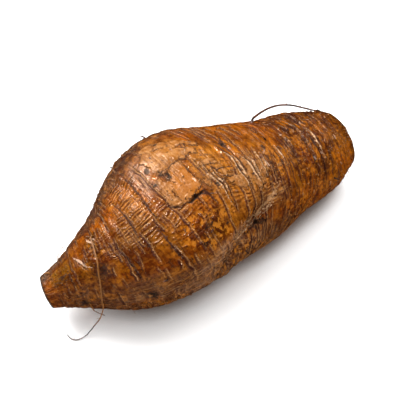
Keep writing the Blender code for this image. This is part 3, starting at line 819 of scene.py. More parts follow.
def bark(ring, angle):
    """Height of the finished bark over the plain form, and the masks that colour it."""
    spot = straight(ring, angle)
    waver = 0.8 * grain(spot, (40.0, 14.0, 14.0), 1) + 0.45 * grain(spot, (10.0, 5.0, 5.0), 2)
    wavy_ring = ring + waver
    edges = wander(ring, angle, spot, *EDGE_WANDER)
    drawn = wander(ring, angle, spot, *LINE_WANDER)
    behind = ease(np.cos(np.radians(angle - BEHIND_ANGLE)), 0.3, 0.9)

    masks = {name: area(patches, *edges) for name, patches in AREAS.items()}
    inside, thick = flakes(ring, angle, spot, masks["paper"])
    masks["flake"] = np.clip(inside, -3.0, 3.0)
    # painted shadow of the flakes' edges: stronger on edges that face the front, away from the key
    # lamp
    masks["rim"] = 0.25 + 0.75 * ease(-np.gradient(inside, axis=1), 0.0, 0.35)
    line_sets = ring_lines(wavy_ring, angle, spot)
    for number, (gaps, holds) in enumerate(line_sets):
        masks[f"gap_{number}"] = gaps
        masks[f"hold_{number}"] = np.clip(holds * (1.0 - 0.6 * masks["dust_and_painted_shade"]), 0.0, 1.0)

    cracks = strokes(CRACKS, *drawn)
    ridges = strokes(RIDGES, *drawn)
    pits = area(PITS, *wander(ring, angle, spot, *PIT_WANDER), 0.5)
    near, far = cells(spot, PLATE_SIZE, 71)
    neck_cracks = (1.0 - ease(far - near, 0.0, 0.24)) * area(NECK_CRACKED, ring, angle)
    lumpy = 0.2 + area(LUMPY, *edges)
    shift, tall = wrinkle_bands(wavy_ring, spot)
    dark_rims, black_edge = cut_rims(ring, edges[0], spot, behind)
    masks["wrinkle_shift"] = shift
    masks["wrinkle"] = np.clip((0.05 + area(WRINKLED, *edges)) * tall, 0.0, 1.0)
    masks["corded"] = 1.0 - 0.92 * ease(wavy_ring, *CORDS_FADE)
    masks["lumpy"] = np.clip(lumpy, 0.0, 1.0)
    # cracks and the neck's plate gaps: sunk, and darkened with painted shade
    masks["crack_and_painted_shade"] = np.clip(cracks + 1.1 * neck_cracks, 0.0, 1.5)
    # pale worn ridges, partly a painted highlight
    masks["wear_and_painted_highlight"] = np.clip(ridges, 0.0, 1.2)
    masks["strand"] = np.clip(strokes(STRANDS, *drawn), 0.0, 1.2)
    # painted highlights: pale strokes that stand for glints on the wet skin
    masks["torn_edge_and_painted_glint"] = np.clip(strokes(PAINTED_GLINTS, *drawn), 0.0, 1.2)
    # dark spots, and painted shade in the holes and the fold's pocket
    masks["dark_spot_and_painted_shade"] = np.clip(pits * 1.4, 0.0, 1.0)
    masks["umber_and_painted_shade"] = np.maximum(masks["umber_and_painted_shade"], dark_rims)
    masks["black_neck_edge"] = black_edge
    masks["hairy"] = 0.35 + 0.65 * ease(grain(spot, 22.0, 95), -0.1, 0.4)
    masks["scaly"] = area(SCALY, *edges) * ease(grain(spot, 9.0, 90), -0.3, 0.4)

    ragged = ease(ring, *RAGGED_END) * rough(spot, 8.0, 54)
    lumps = LUMP_HEIGHT * rough(spot, LUMP_SIZE, 51) * lumpy
    fine = line_relief(line_sets) + (1.0 + 0.8 * behind) * ragged + thick + lumps
    fine = fine + GRAIN_HEIGHT * grain(spot, GRAIN_SIZE, 52) + RIDGE_HEIGHT * ridges
    fine = fine - CRACK_DEPTH * cracks - PLATE_GAP_DEPTH * neck_cracks - PIT_DEPTH * pits - SETTLED
    rings = RING_SHALLOWNESS * growth_rings(wavy_ring, angle)
    height = rings + swellings(ring, angle) + fold(ring, angle)
    return (height + fine) * calm(ring, angle), masks


# Meshes

def new_object(name, points, faces, materials):
    """A mesh object from points in millimetres, faces, and its materials."""
    mesh = bpy.data.meshes.new(name)
    mesh.from_pydata(np.asarray(points) * MM, [], faces)
    mesh.update()
    for material in materials:
        mesh.materials.append(material)
    item = bpy.data.objects.new(name, mesh)
    bpy.context.scene.collection.objects.link(item)
    return item


def skin_grid():
    """Places and angles of the skin's mesh."""
    rings = np.linspace(0.0, ROOT_LENGTH, FACES_ALONG + 1)
    turn = np.linspace(0.0, 360.0, FACES_AROUND, endpoint=False)
    shift = np.degrees(CROWDING) * np.sin(np.radians(turn - CROWDED_ANGLE))
    return np.meshgrid(rings, turn - shift, indexing="ij")


def cut_rings(rim, outward, seed):
    """Rings of points from a rim to the middle of its cut."""
    middle = rim.mean(axis=0)
    rings = []
    for step in range(1, CUT_RINGS + 1):
        inward = (step / CUT_RINGS) ** 0.8
        place = middle + (rim - middle) * (1.0 - 0.985 * inward)
        rough_cut = 0.35 * grain(place, 4.0, seed) + 0.2 * grain(place, 1.6, seed + 1)
        level = RIM_ROUNDING * ease(inward, 0.0, 0.12) - CUT_HOLLOW * ease(inward, 0.1, 1.0)
        rings.append(place + outward * (level + rough_cut * ease(inward, 0.05, 0.3))[:, None])
    return rings


def clear_of_box(points):
    """0 where the bark almost touches the solid's box, where no hair has room, and 1 elsewhere."""
    room = np.minimum(points - BOX_LOW, BOX_HIGH - points).min(axis=-1)
    return ease(room, 2.5, 6.0)


def row_faces(row_count):
    """Faces between rings of points, and one more to close each end."""
    faces = []
    for start in range(0, (row_count - 1) * FACES_AROUND, FACES_AROUND):
        for index in range(FACES_AROUND):
            after = (index + 1) % FACES_AROUND
            faces.append((start + index, start + FACES_AROUND + index,
                          start + FACES_AROUND + after, start + after))
    last = (row_count - 1) * FACES_AROUND
    faces.append(tuple(range(FACES_AROUND)))
    faces.append(tuple(reversed(range(last, last + FACES_AROUND))))
    return faces


def make_skin(materials):
    """The whole root: bark round it and a cut face at each end, as one closed mesh."""
    ring, angle = skin_grid()
    height, masks = bark(ring, angle)
    points = place_on_form(ring, angle, height)
    points = np.clip(points, BOX_LOW + BOX_MARGIN, BOX_HIGH - BOX_MARGIN)
    points[..., 2] = np.where(points[..., 2] < RESTING_HEIGHT, 0.0, points[..., 2])
    masks["hairy"] = masks["hairy"] * clear_of_box(points)
    run, _, _ = section_axes(np.array([0.0, ROOT_LENGTH]))
    neck_cut = cut_rings(points[0], -run[0], 91)
    far_cut = cut_rings(points[-1], run[1], 93)
    rows = neck_cut[::-1] + list(points) + far_cut
    body = new_object("root_bark", np.concatenate(rows), row_faces(len(rows)), materials)
    mark_cuts(body.data, len(rows))
    for name, values in masks.items():
        store(body.data, name, "FLOAT", "value", over_cuts(values))
    store(body.data, "grown", "FLOAT_VECTOR", "vector", grown_places(straight(ring, angle)))
    body.data.shade_smooth()
    return body


def mark_cuts(mesh, row_count):
    """Give the faces of the two cuts the cut wood's material."""
    in_row = np.arange(row_count - 1)
    on_cut = (in_row < CUT_RINGS) | (in_row >= row_count - 1 - CUT_RINGS)
    slots = np.concatenate([np.repeat(on_cut, FACES_AROUND), [True, True]]).astype(np.int32)
    mesh.polygons.foreach_set("material_index", slots)


def over_cuts(values):
    """Values for all rows of points: those of the bark, and those of each rim over its cut."""
    return np.concatenate([np.repeat(values[:1], CUT_RINGS, axis=0), values,
                           np.repeat(values[-1:], CUT_RINGS, axis=0)])


def store(mesh, name, kind, field, rows):
    """Store a value or a vector for each point of a mesh."""
    layer = mesh.attributes.new(name, kind, "POINT")
    layer.data.foreach_set(field, rows.ravel().astype(np.float32))


def grown_places(spots):
    """Each point's place on the straightened root, in metres, for patterns that follow it."""
    rows = over_cuts(spots)
    for step in range(CUT_RINGS):
        share = (step / CUT_RINGS) ** 1.25
        rows[step] = rows[step] * (1.0, share, share)
        rows[-1 - step] = rows[-1 - step] * (1.0, share, share)
    return rows * MM


# Materials

def linear(code):
    """A colour for a shader from its sRGB hex code."""
    channels = [int(code[start:start + 2], 16) / 255.0 for start in (1, 3, 5)]
    turned = [c / 12.92 if c <= 0.04045 else ((c + 0.055) / 1.055) ** 2.4 for c in channels]
    return (*turned, 1.0)


def socket_of(sockets, key):
    """One of a node's sockets, by its identifier, its name or its number."""
    for socket in sockets:
        if socket.identifier == key:
            return socket
    return sockets[key]


def fill(tree, node, inputs):
    """Set or link a node's inputs, given by name or in their order. A node given for an input
    is linked by its first output in use."""
    pairs = inputs.items() if isinstance(inputs, dict) else enumerate(inputs)
    for key, value in pairs:
        socket = socket_of(node.inputs, key)
        if isinstance(value, bpy.types.Node):
            value = next(output for output in value.outputs if output.enabled)
        if isinstance(value, bpy.types.NodeSocket):
            tree.links.new(value, socket)
        else:
            socket.default_value = value


def add(tree, kind, inputs=(), **settings):
    """Add a node with its settings, and set or link its inputs."""
    node = tree.nodes.new(kind)
    for name, value in settings.items():
        setattr(node, name, value)
    fill(tree, node, inputs)
    return node


def new_material(name):
    """A new material and its tree of nodes."""
    material = bpy.data.materials.new(name)
    material.use_nodes = True
    return material, material.node_tree


# The kinds and settings of node that the materials have most of
MATHS = "ShaderNodeMath"
VECTOR_MATHS = "ShaderNodeVectorMath"
RANGE = "ShaderNodeMapRange"
NOISE = "ShaderNodeTexNoise"
MIX = "ShaderNodeMix"
STORED = "ShaderNodeAttribute"
PLUS = {"operation": "ADD"}
TIMES = {"operation": "MULTIPLY"}
TIMES_PLUS = {"operation": "MULTIPLY_ADD"}
SMOOTH = {"interpolation_type": "SMOOTHSTEP"}

# A coat of colour: the value that it follows, the share of it that covers, its colour, and how
# it goes with what lies below
Coat = namedtuple("Coat", "follows share colour how", defaults=("MIX",))


def lay_coats(tree, ground, coats):
    """Lay coats of colour over the ground colour, in their order. A colour is an sRGB hex code
    or a node."""
    below = linear(ground)
    for coat in coats:
        cover = add(tree, MATHS, [coat.follows, coat.share], **TIMES)
        above = linear(coat.colour) if isinstance(coat.colour, str) else coat.colour
        inputs = {"Factor_Float": cover, "A_Color": below, "B_Color": above}
        below = add(tree, MIX, inputs, data_type="RGBA", blend_type=coat.how)
    return below


def raise_relief(tree, bumps, distance):
    """Add up bumps, which are values and their shares, to a relief of so many millimetres."""
    height = 0.0
    for value, share in bumps:
        height = add(tree, MATHS, [value, share, height], **TIMES_PLUS)
    return add(tree, "ShaderNodeBump", {"Height": height, "Distance": distance * MM,
                                        "Strength": 1.0})


# Colours of the bark's areas, and the range of mottling in which each comes on
AREA_COLOURS = (
    ("ochre", "#80540d", 0.35, 0.58),
    ("golden", "#aa6412", 0.25, 0.50),
    ("rust", "#964b04", 0.35, 0.58),
    ("mahogany", "#642402", 0.30, 0.58),
    # dark brown, and painted shade low on the root
    ("umber_and_painted_shade", "#351602", 0.30, 0.58),
    # grey brown soil, and painted shade
    ("dust_and_painted_shade", "#543522", 0.30, 0.58),
    ("soil", "#3a302a", 0.25, 0.50),
    ("paper", "#9c6429", 0.30, 0.55),
    # painted reflection of the key lamp on the wet skin
    ("painted_reflection", "#b08468", 0.20, 0.45),
    ("film", "#8c6850", 0.35, 0.55),
)
# Blotches of the bark: the noise that they follow, its range, their cover at its two ends, the
# area that they keep to, and their colour
BLOTCHES = (
    ("patches", 0.38, 0.49, 0.5, 0.0, None, "#4a1e08"),
    ("patches", 0.54, 0.66, 0.0, 0.4, None, "#a4600e"),
    ("mottle", 0.40, 0.48, 0.48, 0.0, "even", "#361204"),
    ("bands", 0.42, 0.52, 0.95, 0.0, "blotchy", "#34150a"),
    ("bands", 0.52, 0.62, 0.0, 0.6, "blotchy", "#a0580a"),
    ("mottle", 0.54, 0.64, 0.0, 0.32, None, "#a8641a"),
)
# Noise in the bark: the size of its features in millimetres, its detail, and its squeeze along
# and round the root
NOISES = {
    "broad": (14.0, 3.0, (1.0, 1.0, 1.0)),
    "swaying": (12.0, 3.0, (1.0, 1.0, 1.0)),
    "patches": (9.0, 3.0, (1.0, 0.7, 0.7)),
    "bands": (8.0, 3.0, (1.0, 0.4, 0.4)),
    "wetness": (7.0, 3.0, (1.0, 1.0, 1.0)),
    "mottle": (3.4, 4.0, (1.0, 0.45, 0.45)),
    "dryness": (3.0, 4.0, (1.0, 1.0, 1.0)),
    "lumps": (2.6, 2.0, (1.0, 0.75, 0.75)),
    "speck": (1.5, 3.0, (1.0, 0.6, 0.6)),
    "ringwise": (1.3, 3.0, (1.0, 0.14, 0.14)),
    "jagged": (1.3, 3.0, (1.0, 1.0, 1.0)),
    "lengthwise": (1.1, 3.0, (0.12, 1.0, 1.0)),
}
# Drawn marks of the bark: how far their edges wander, the range in which they come on, how much
# they cover, their colour, and the height they add
DRAWN_MARKS = (
    # pale worn ridges: partly wear and partly a painted highlight
    ("wear_and_painted_highlight", 0.2, 0.55, 0.85, 0.8, "#dcae84", 0.8),
    # painted shade in the cracks
    ("crack_and_painted_shade", 0.2, 0.45, 0.85, 0.85, "#2a0d0a", -0.5),
    # painted highlights on the wet skin
    ("torn_edge_and_painted_glint", 0.15, 0.62, 0.82, 0.8, "#cca88e", 0.0),
    # dark spots, and painted shade in the holes
    ("dark_spot_and_painted_shade", 0.4, 0.42, 0.80, 0.85, "#140a08", 0.0),
    ("strand", 0.15, 0.60, 0.85, 0.75, "#9a7450", 0.5),
)
# The other values that are stored on the skin
SKIN_VALUES = ("blotchy", "fibrous", "wrinkle", "wrinkle_shift", "lumpy", "flake", "rim", "corded",
               "black_neck_edge")


def bark_fields(tree):
    """What the bark's patterns follow: the place on the straightened root, noise of many sizes,
    and the values that are stored on the skin."""
    grown = add(tree, STORED, attribute_name="grown").outputs["Vector"]
    sides = add(tree, "ShaderNodeSeparateXYZ", [grown]).outputs
    fields = dict(zip(("along", "forward", "upward"), sides))
    for name, (size, detail, squeeze) in NOISES.items():
        place = add(tree, "ShaderNodeMapping", {"Vector": grown, "Scale": squeeze})
        inputs = {"Vector": place, "Scale": 1.0 / (size * MM), "Detail": detail, "Roughness": 0.6}
        fields[name] = add(tree, NOISE, inputs)
    stored = [row[0] for row in AREA_COLOURS + DRAWN_MARKS]
    for number in range(len(LINE_SETS)):
        stored += [f"gap_{number}", f"hold_{number}"]
    for name in (*stored, *SKIN_VALUES):
        fields[name] = add(tree, STORED, attribute_name=name).outputs["Fac"]
    fields["even"] = add(tree, MATHS, [fields["blotchy"], -0.6, 1.0], **TIMES_PLUS)
    return fields


def on_line(tree, past, middle, half_width):
    """1 on the middle of a line and 0 off it, from the distance past a marked line."""
    aside = add(tree, MATHS, [past, middle], operation="SUBTRACT")
    away = add(tree, MATHS, [aside], operation="ABSOLUTE")
    return add(tree, RANGE, [away, 0.0, half_width, 1.0, 0.0], **SMOOTH)


def paint_areas(tree, fields, coats):
    """Areas of colour with their mottling, and smaller blotches over them."""
    broad = add(tree, RANGE, [fields["broad"], 0.35, 0.65], **SMOOTH)
    coats.append(Coat(broad, 1.0, "#904702"))
    for name, code, low, high in AREA_COLOURS:
        mottled = add(tree, RANGE, [fields["mottle"], low, high, 0.45, 1.15], **SMOOTH)
        cover = add(tree, MATHS, [fields[name], mottled], **TIMES)
        coats.append(Coat(cover, 1.0, code))
    for noise, low, high, at_low, at_high, keeps_to, code in BLOTCHES:
        cover = add(tree, RANGE, [fields[noise], low, high, at_low, at_high], **SMOOTH)
        if keeps_to:
            cover = add(tree, MATHS, [cover, fields[keeps_to]], **TIMES)
        coats.append(Coat(cover, 1.0, code))


def paint_stripes(tree, fields, coats, bumps):
    """Dark stripes round the blotchy trunk, and the mottling's own relief."""
    swayed = add(tree, MATHS, [fields["swaying"], 11.0], **TIMES)
    turns = add(tree, MATHS, [fields["along"], STRIPE_TURNS, swayed], **TIMES_PLUS)
    wave = add(tree, MATHS, [turns], operation="SINE")
    uneven = add(tree, RANGE, [fields["mottle"], 0.3, 0.7, -0.8, 0.8], **SMOOTH)
    broken = add(tree, MATHS, [wave, uneven], **PLUS)
    crests = add(tree, RANGE, [broken, 0.0, 0.8], **SMOOTH)
    stripes = add(tree, MATHS, [fields["blotchy"], crests], **TIMES)
    coats.append(Coat(stripes, 0.85, "#3a170a"))
    bumps += [(fields["mottle"], 0.8), (stripes, -0.4)]


def paint_fibres(tree, fields, coats, bumps):
    """Fine streaks round the root, and grey brown threads along it where it is fibrous."""
    fibrous, lengthwise = fields["fibrous"], fields["lengthwise"]
    ways = {"Factor_Float": fibrous, "A_Float": fields["ringwise"], "B_Float": lengthwise}
    streaks = add(tree, MIX, ways)
    bright = add(tree, RANGE, [streaks, 0.36, 0.60], **SMOOTH)
    shade = lay_coats(tree, "#8c6850", [Coat(bright, 1.0, "#ffffff")])
    faint = add(tree, MATHS, [fields["blotchy"], -0.3, 0.5], **TIMES_PLUS)
    coats.append(Coat(faint, 1.0, shade, "MULTIPLY"))
    coats.append(Coat(fibrous, 0.35, "#5a3c26"))
    pale = add(tree, RANGE, [lengthwise, 0.52, 0.66], **SMOOTH)
    threads = add(tree, MATHS, [fibrous, pale], **TIMES)
    coats.append(Coat(threads, 0.7, "#98714a"))
    bumps.append((streaks, 0.3))


def paint_wrinkles(tree, fields, coats, bumps):
    """Wrinkles along the root, with painted shade in their troughs and painted light on their crests.
    """
    angle = add(tree, MATHS, [fields["forward"], fields["upward"]], operation="ARCTAN2")
    shift = fields["wrinkle_shift"]
    phase = add(tree, MATHS, [angle, float(WRINKLE_COUNT), shift], **TIMES_PLUS)
    even = add(tree, MATHS, [phase], operation="SINE")
    uneven = add(tree, RANGE, [fields["lengthwise"], 0.3, 0.7, -0.5, 0.5], **SMOOTH)
    wave = add(tree, MATHS, [even, uneven], **PLUS)
    # painted shade in the troughs, and painted light on the crests
    for end, most, code in ((-0.8, 0.9, "#4a1e08"), (1.1, 0.55, "#ac7236")):
        part = add(tree, RANGE, [wave, 0.0, end, 0.0, most], **SMOOTH)
        cover = add(tree, MATHS, [fields["wrinkle"], part], **TIMES)
        coats.append(Coat(cover, 1.0, code))
    wrinkles = add(tree, MATHS, [fields["wrinkle"], wave], **TIMES)
    bumps.append((wrinkles, 0.3))


def paint_lumps(tree, fields, coats, bumps):
    """Lumps, with painted light on their tops and painted shade in the small hollows between them."""
    lumps, lumpy = fields["lumps"], fields["lumpy"]
    low = add(tree, RANGE, [lumps, 0.40, 0.49, 1.0, 0.0], **SMOOTH)
    hollows = add(tree, MATHS, [lumpy, low], **TIMES)
    high = add(tree, RANGE, [lumps, 0.50, 0.62, 0.0, 0.7], **SMOOTH)
    tops = add(tree, MATHS, [lumpy, high], **TIMES)
    raised = add(tree, MATHS, [lumpy, lumps], **TIMES)
    # painted light on the lumps' tops, and painted shade in the hollows
    coats += [Coat(tops, 1.0, "#ac681e"), Coat(hollows, 0.65, "#3c1406")]
    bumps += [(raised, 1.3), (hollows, -0.2)]


def paint_flakes(tree, fields, coats, bumps):
    """Dry flakes with a painted shadow in the groove beside their raised edge, strongest on the edges
    that face the front, away from the key lamp: where they lie, and where the shadow is.
    """
    ragged = add(tree, RANGE, [fields["jagged"], 0.3, 0.7, -0.7, 0.7], **SMOOTH)
    inside = add(tree, MATHS, [fields["flake"], ragged], **PLUS)
    flake = add(tree, RANGE, [inside, -0.1, 0.2], **SMOOTH)
    driest = add(tree, RANGE, [fields["dryness"], 0.40, 0.60], **SMOOTH)
    dry_coats = [Coat(driest, 1.0, "#a06e3f"), Coat(fields["rust"], 0.7, "#99581b")]
    dry = lay_coats(tree, "#845020", dry_coats)
    # painted shadow in the groove beside each flake's edge
    gap = add(tree, MATHS, [fields["rim"], on_line(tree, inside, -0.35, 0.55)], **TIMES)
    coats += [Coat(flake, 0.75, dry), Coat(gap, 0.85, "#2c0f08")]
    bumps += [(flake, 0.45), (gap, -0.4)]
    return flake, gap


def paint_specks(tree, fields, coats, bumps):
    """Small dark specks."""
    specks = add(tree, RANGE, [fields["speck"], 0.58, 0.65, 0.0, 0.65], **SMOOTH)
    coats.append(Coat(specks, 1.0, "#2b1306"))
    bumps.append((fields["speck"], -0.45))


def paint_ring_lines(tree, fields, coats, bumps, flake):
    """Ring lines: a crease darkened with painted shade, and a cord just past it lightened with a
    painted highlight. Returns the creases.
    """
    ragged = add(tree, RANGE, [fields["jagged"], 0.3, 0.7, -0.25, 0.25], **SMOOTH)
    broken = add(tree, RANGE, [fields["jagged"], 0.35, 0.60, 0.3, 1.1], **SMOOTH)
    corded = add(tree, MATHS, [fields["corded"], broken], **TIMES)
    bare = add(tree, MATHS, [flake, -0.65, 1.0], **TIMES_PLUS)
    creases = []
    for number in range(len(LINE_SETS)):
        past = add(tree, MATHS, [fields[f"gap_{number}"], ragged], **PLUS)
        hold = add(tree, MATHS, [fields[f"hold_{number}"], bare], **TIMES)
        crease = add(tree, MATHS, [hold, on_line(tree, past, 0.0, 0.62)], **TIMES)
        raised = add(tree, MATHS, [hold, on_line(tree, past, 0.88, 0.5)], **TIMES)
        cord = add(tree, MATHS, [raised, corded], **TIMES)
        # dark maroon painted shade in each crease, and a painted highlight on each cord
        coats += [Coat(crease, 0.9, "#3c1010"), Coat(cord, 0.62, "#cc9460")]
        bumps += [(crease, -0.6), (cord, 0.95)]
        creases.append(crease)
    return creases


def paint_drawn_marks(tree, fields, coats, bumps):
    """Worn ridges with a painted highlight, strokes of painted highlight, cracks darkened with
    painted shade, dark spots and pits with painted shade, and strands. Returns those that are deep.
    """
    deep = []
    for name, wandering, low, high, share, code, height in DRAWN_MARKS:
        edge = add(tree, RANGE, [fields["jagged"], 0.3, 0.7, -wandering, wandering], **SMOOTH)
        ragged = add(tree, MATHS, [fields[name], edge], **PLUS)
        mark = add(tree, RANGE, [ragged, low, high], **SMOOTH)
        if name == "dark_spot_and_painted_shade":
            # a soft dark halo round the dark spots, and painted shade round the holes
            coats.append(Coat(fields["dark_spot_and_painted_shade"], 0.45, "#3a1a12"))
        coats.append(Coat(mark, share, code))
        if height:
            bumps.append((mark, height))
        if name in ("crack_and_painted_shade", "dark_spot_and_painted_shade"):
            deep.append(mark)
    return deep


def bark_roughness(tree, fields, flake, deep):
    """How rough the wet bark is. Deep, dry and dusty places are dull."""
    deepest = 0.0
    for mark in deep:
        deepest = add(tree, MATHS, [deepest, mark], operation="MAXIMUM")
    wet = add(tree, RANGE, [fields["wetness"], 0.35, 0.65, 0.08, 0.22], **SMOOTH)
    dry = add(tree, MATHS, [flake, fields["dust_and_painted_shade"]], **PLUS)
    dull = add(tree, MATHS, [deepest, 0.4, wet], **TIMES_PLUS)
    return add(tree, MATHS, [dry, 0.12, dull], **TIMES_PLUS)


def bark_material():
    """Bark of a freshly dug root, washed and still wet: a thin corky skin, brown and glossy, with
    pale dry flakes, dark creases and films of soil. Its colour also holds painted shade in creases,
    cracks and hollows, and painted highlights on ridges and cords."""
    material, tree = new_material("wet_kudzu_bark")
    fields = bark_fields(tree)
    coats, bumps = [], []
    paint_areas(tree, fields, coats)
    paint_stripes(tree, fields, coats, bumps)
    paint_fibres(tree, fields, coats, bumps)
    paint_wrinkles(tree, fields, coats, bumps)
    paint_lumps(tree, fields, coats, bumps)
    flake, gap = paint_flakes(tree, fields, coats, bumps)
    paint_specks(tree, fields, coats, bumps)
    creases = paint_ring_lines(tree, fields, coats, bumps, flake)
    deep_marks = paint_drawn_marks(tree, fields, coats, bumps)
    coats.append(Coat(fields["black_neck_edge"], 0.85, "#2a211b"))
    shader = {
        "Base Color": lay_coats(tree, "#642702", coats),
        "Roughness": bark_roughness(tree, fields, flake, [gap, *creases, *deep_marks]),
        "Normal": raise_relief(tree, bumps, 1.0),
        "IOR": 1.45,
        "Specular IOR Level": 0.26,
        "Specular Tint": (1.0, 0.73, 0.52, 1.0),
    }
    fill(tree, tree.nodes["Principled BSDF"], shader)
    return material


def cut_material():
    """Cut wood of the root, dried in air: fibres that run out from its middle, crossed by paler
    and darker growth rings, and brown next to the bark."""
    material, tree = new_material("dried_cut_root")
    grown = add(tree, STORED, attribute_name="grown").outputs["Vector"]
    outward = add(tree, VECTOR_MATHS, [grown, (0.0, 1.0, 1.0)], **TIMES)
    reach = add(tree, VECTOR_MATHS, [outward], operation="LENGTH")
    heading = add(tree, VECTOR_MATHS, [outward], operation="NORMALIZE")
    fibres = add(tree, NOISE, {"Vector": heading, "Scale": 16.0, "Detail": 4.0})
    coarse = add(tree, NOISE, {"Vector": grown, "Scale": 1.0 / (9.0 * MM), "Detail": 3.0})
    pores = add(tree, NOISE, {"Vector": grown, "Scale": 1.0 / (1.6 * MM), "Detail": 3.0})
    sway = add(tree, RANGE, [coarse, 0.0, 1.0, -0.12, 0.12])
    swayed = add(tree, MATHS, [reach, 1.0 / (MEAN_RADIUS * MM), sway], **TIMES_PLUS)
    turns = add(tree, MATHS, [swayed, CUT_GROWTH_RINGS * 2.0 * math.pi], **TIMES)
    rings = add(tree, MATHS, [turns], operation="SINE")
    # What each colour follows, the range of it, the cover at its two ends, and the colour
    colours = (
        (coarse, 0.35, 0.65, 0.0, 1.0, "#b09671"),
        (fibres, 0.40, 0.60, 0.45, 0.0, "#5e452e"),
        (rings, 0.3, 1.0, 0.0, 0.35, "#553c26"),
        (pores, 0.56, 0.66, 0.0, 0.5, "#45301e"),
        (swayed, 0.86, 0.96, 0.0, 0.85, "#3a2414"),
        (swayed, 0.16, 0.04, 0.0, 0.6, "#4d3420"),
    )
    coats = [Coat(add(tree, RANGE, span), 1.0, code) for *span, code in colours]
    shader = {
        "Base Color": lay_coats(tree, "#7d6448", coats),
        "Normal": raise_relief(tree, [(fibres, 1.0), (pores, 1.0), (rings, 0.15)], 0.6),
        "Roughness": 0.7,
    }
    fill(tree, tree.nodes["Principled BSDF"], shader)
    return material


def rootlet_material(name, light, dark):
    """Rootlets: thin woody threads, lighter and dark in turn, and brown where they lie over the neck,
    clear of the floor."""
    material, tree = new_material(name)
    place = add(tree, "ShaderNodeTexCoord").outputs["Object"]
    noise = add(tree, NOISE, {"Vector": place, "Scale": 1.0 / (5.0 * MM), "Detail": 3.0})
    lighter = add(tree, RANGE, [noise, 0.38, 0.62])
    along, _, upward = add(tree, "ShaderNodeSeparateXYZ", [place]).outputs
    neckward = add(tree, RANGE, [along, *BROWN_X])
    raised = add(tree, RANGE, [upward, *BROWN_Z])
    browner = add(tree, MATHS, [neckward, raised], **TIMES)
    coats = [Coat(lighter, 1.0, light), Coat(browner, 1.0, "#7c4c16")]
    shader = {
        "Base Color": lay_coats(tree, dark, coats),
        "Roughness": 0.5,
        "Specular IOR Level": 0.3,
    }
    fill(tree, tree.nodes["Principled BSDF"], shader)
    return material


def floor_material():
    """White paper sweep under the root, with a warm brown shadow painted into its colour close to the
    root.
    """
    material, tree = new_material("white_paper")
    place = add(tree, "ShaderNodeTexCoord").outputs["Object"]
    grain = add(tree, NOISE, {"Vector": place, "Scale": 1.0 / (PAPER_GRAIN * MM), "Detail": 2.0})
    # painted shadow: the paper is darker where the root is near
    nook = add(tree, "ShaderNodeAmbientOcclusion", {"Distance": 20.0 * MM}, samples=8)
    clear = add(tree, RANGE, [nook.outputs["AO"], 0.35, 0.72])
    shader = {
        "Base Color": lay_coats(tree, "#6c4e38", [Coat(clear, 1.0, "#ffffff")]),
        "Normal": raise_relief(tree, [(grain, 1.0)], 0.02),
        "Roughness": 0.9,
        "Specular IOR Level": 0.1,
    }
    fill(tree, tree.nodes["Principled BSDF"], shader)
    return material


# Threads: rootlets and hairs

def over_skin(spots):
    """Points over the solid's skin, from their places, angles and heights over it."""
    return [skin(*spot) for spot in spots]


def even_points(points, step):
    """Points a step apart on a smooth curve through the given ones."""
    points = np.array(points, dtype=float)
    gaps = np.linalg.norm(np.diff(points, axis=0), axis=1)
    places = np.concatenate([[0.0], np.cumsum(gaps)])
    count = max(4, round(places[-1] / step) + 1)
    wanted = np.linspace(0.0, places[-1], count)
    return np.stack([smooth_through(places, points[:, axis], wanted) for axis in range(3)], -1)


def rootlet_routes():
    """Routes of the long rootlets, close to the solid's own. Each runs just over the skin, and
    the one on the neck then hangs free and ends on the floor."""
    hanging = over_skin(((43.0, -12.0, -SUNK), (42.6, -9.0, 1.8), (41.4, 7.0, 2.6),
                         (39.6, 23.0, 2.4), (36.4, 43.0, 2.4), (33.0, 68.0, 2.2)))
    hanging += [(-96.0, -33.5, 30.0), (-100.3, -31.1, 15.0), (-105.4, -29.5, 6.0),
                (-111.3, -29.1, 1.6), (-116.0, -28.3, 1.1), (-119.0, -25.3, 1.1),
                (-120.0, -21.3, 1.1)]
    under_neck = over_skin(((24.0, 84.0, -SUNK), (25.0, 92.0, 0.8)))
    under_neck += [(-96.8, -25.1, 17.5), (-93.0, -28.5, 14.5)]
    arched = over_skin(((170.0, -33.0, -SUNK), (173.5, -36.0, 1.5), (180.0, -41.0, 2.8),
                        (188.0, -44.0, 4.2), (197.0, -44.0, 4.9), (206.0, -42.0, 4.9),
                        (214.0, -38.0, 4.2), (221.0, -36.0, 2.8), (228.0, -33.0, 1.2),
                        (235.0, -30.0, 0.6), (238.0, -27.0, -SUNK)))
    behind_belly = over_skin(((118.0, -118.0, -SUNK), (116.0, -112.0, 2.2), (107.0, -106.0, 3.4),
                              (96.0, -104.0, 4.0), (86.0, -109.0, 3.6), (79.0, -117.0, 2.4)))
    behind_trunk = over_skin(((205.0, 228.0, -SUNK), (203.0, 235.0, 2.0), (196.0, 243.0, 5.0),
                              (186.0, 246.0, 5.6), (177.0, 241.0, 3.2)))
    return [hanging, under_neck, arched, behind_belly, behind_trunk]


def stub_routes():
    """Short broken rootlets, where the solid has them."""
    draw = random.Random(SEED)
    routes = []
    for number in range(STUB_COUNT):
        ring = ROOT_LENGTH * (number + draw.uniform(0.25, 0.75)) / STUB_COUNT
        angle = (number * STUB_TURN + draw.uniform(-20.0, 20.0)) % 360.0
        if abs(angle - 180.0) < 50.0:
            angle = angle + 90.0
        length = draw.uniform(*STUB_LENGTHS)
        lean = draw.uniform(-6.0, 6.0)
        routes.append(over_skin(((ring, angle, -SUNK), (ring, angle, 0.0),
                                 (ring + lean * 0.4, angle + lean * 0.4, length * 0.55),
                                 (ring + lean, angle + lean * 0.7, length))))
    return routes


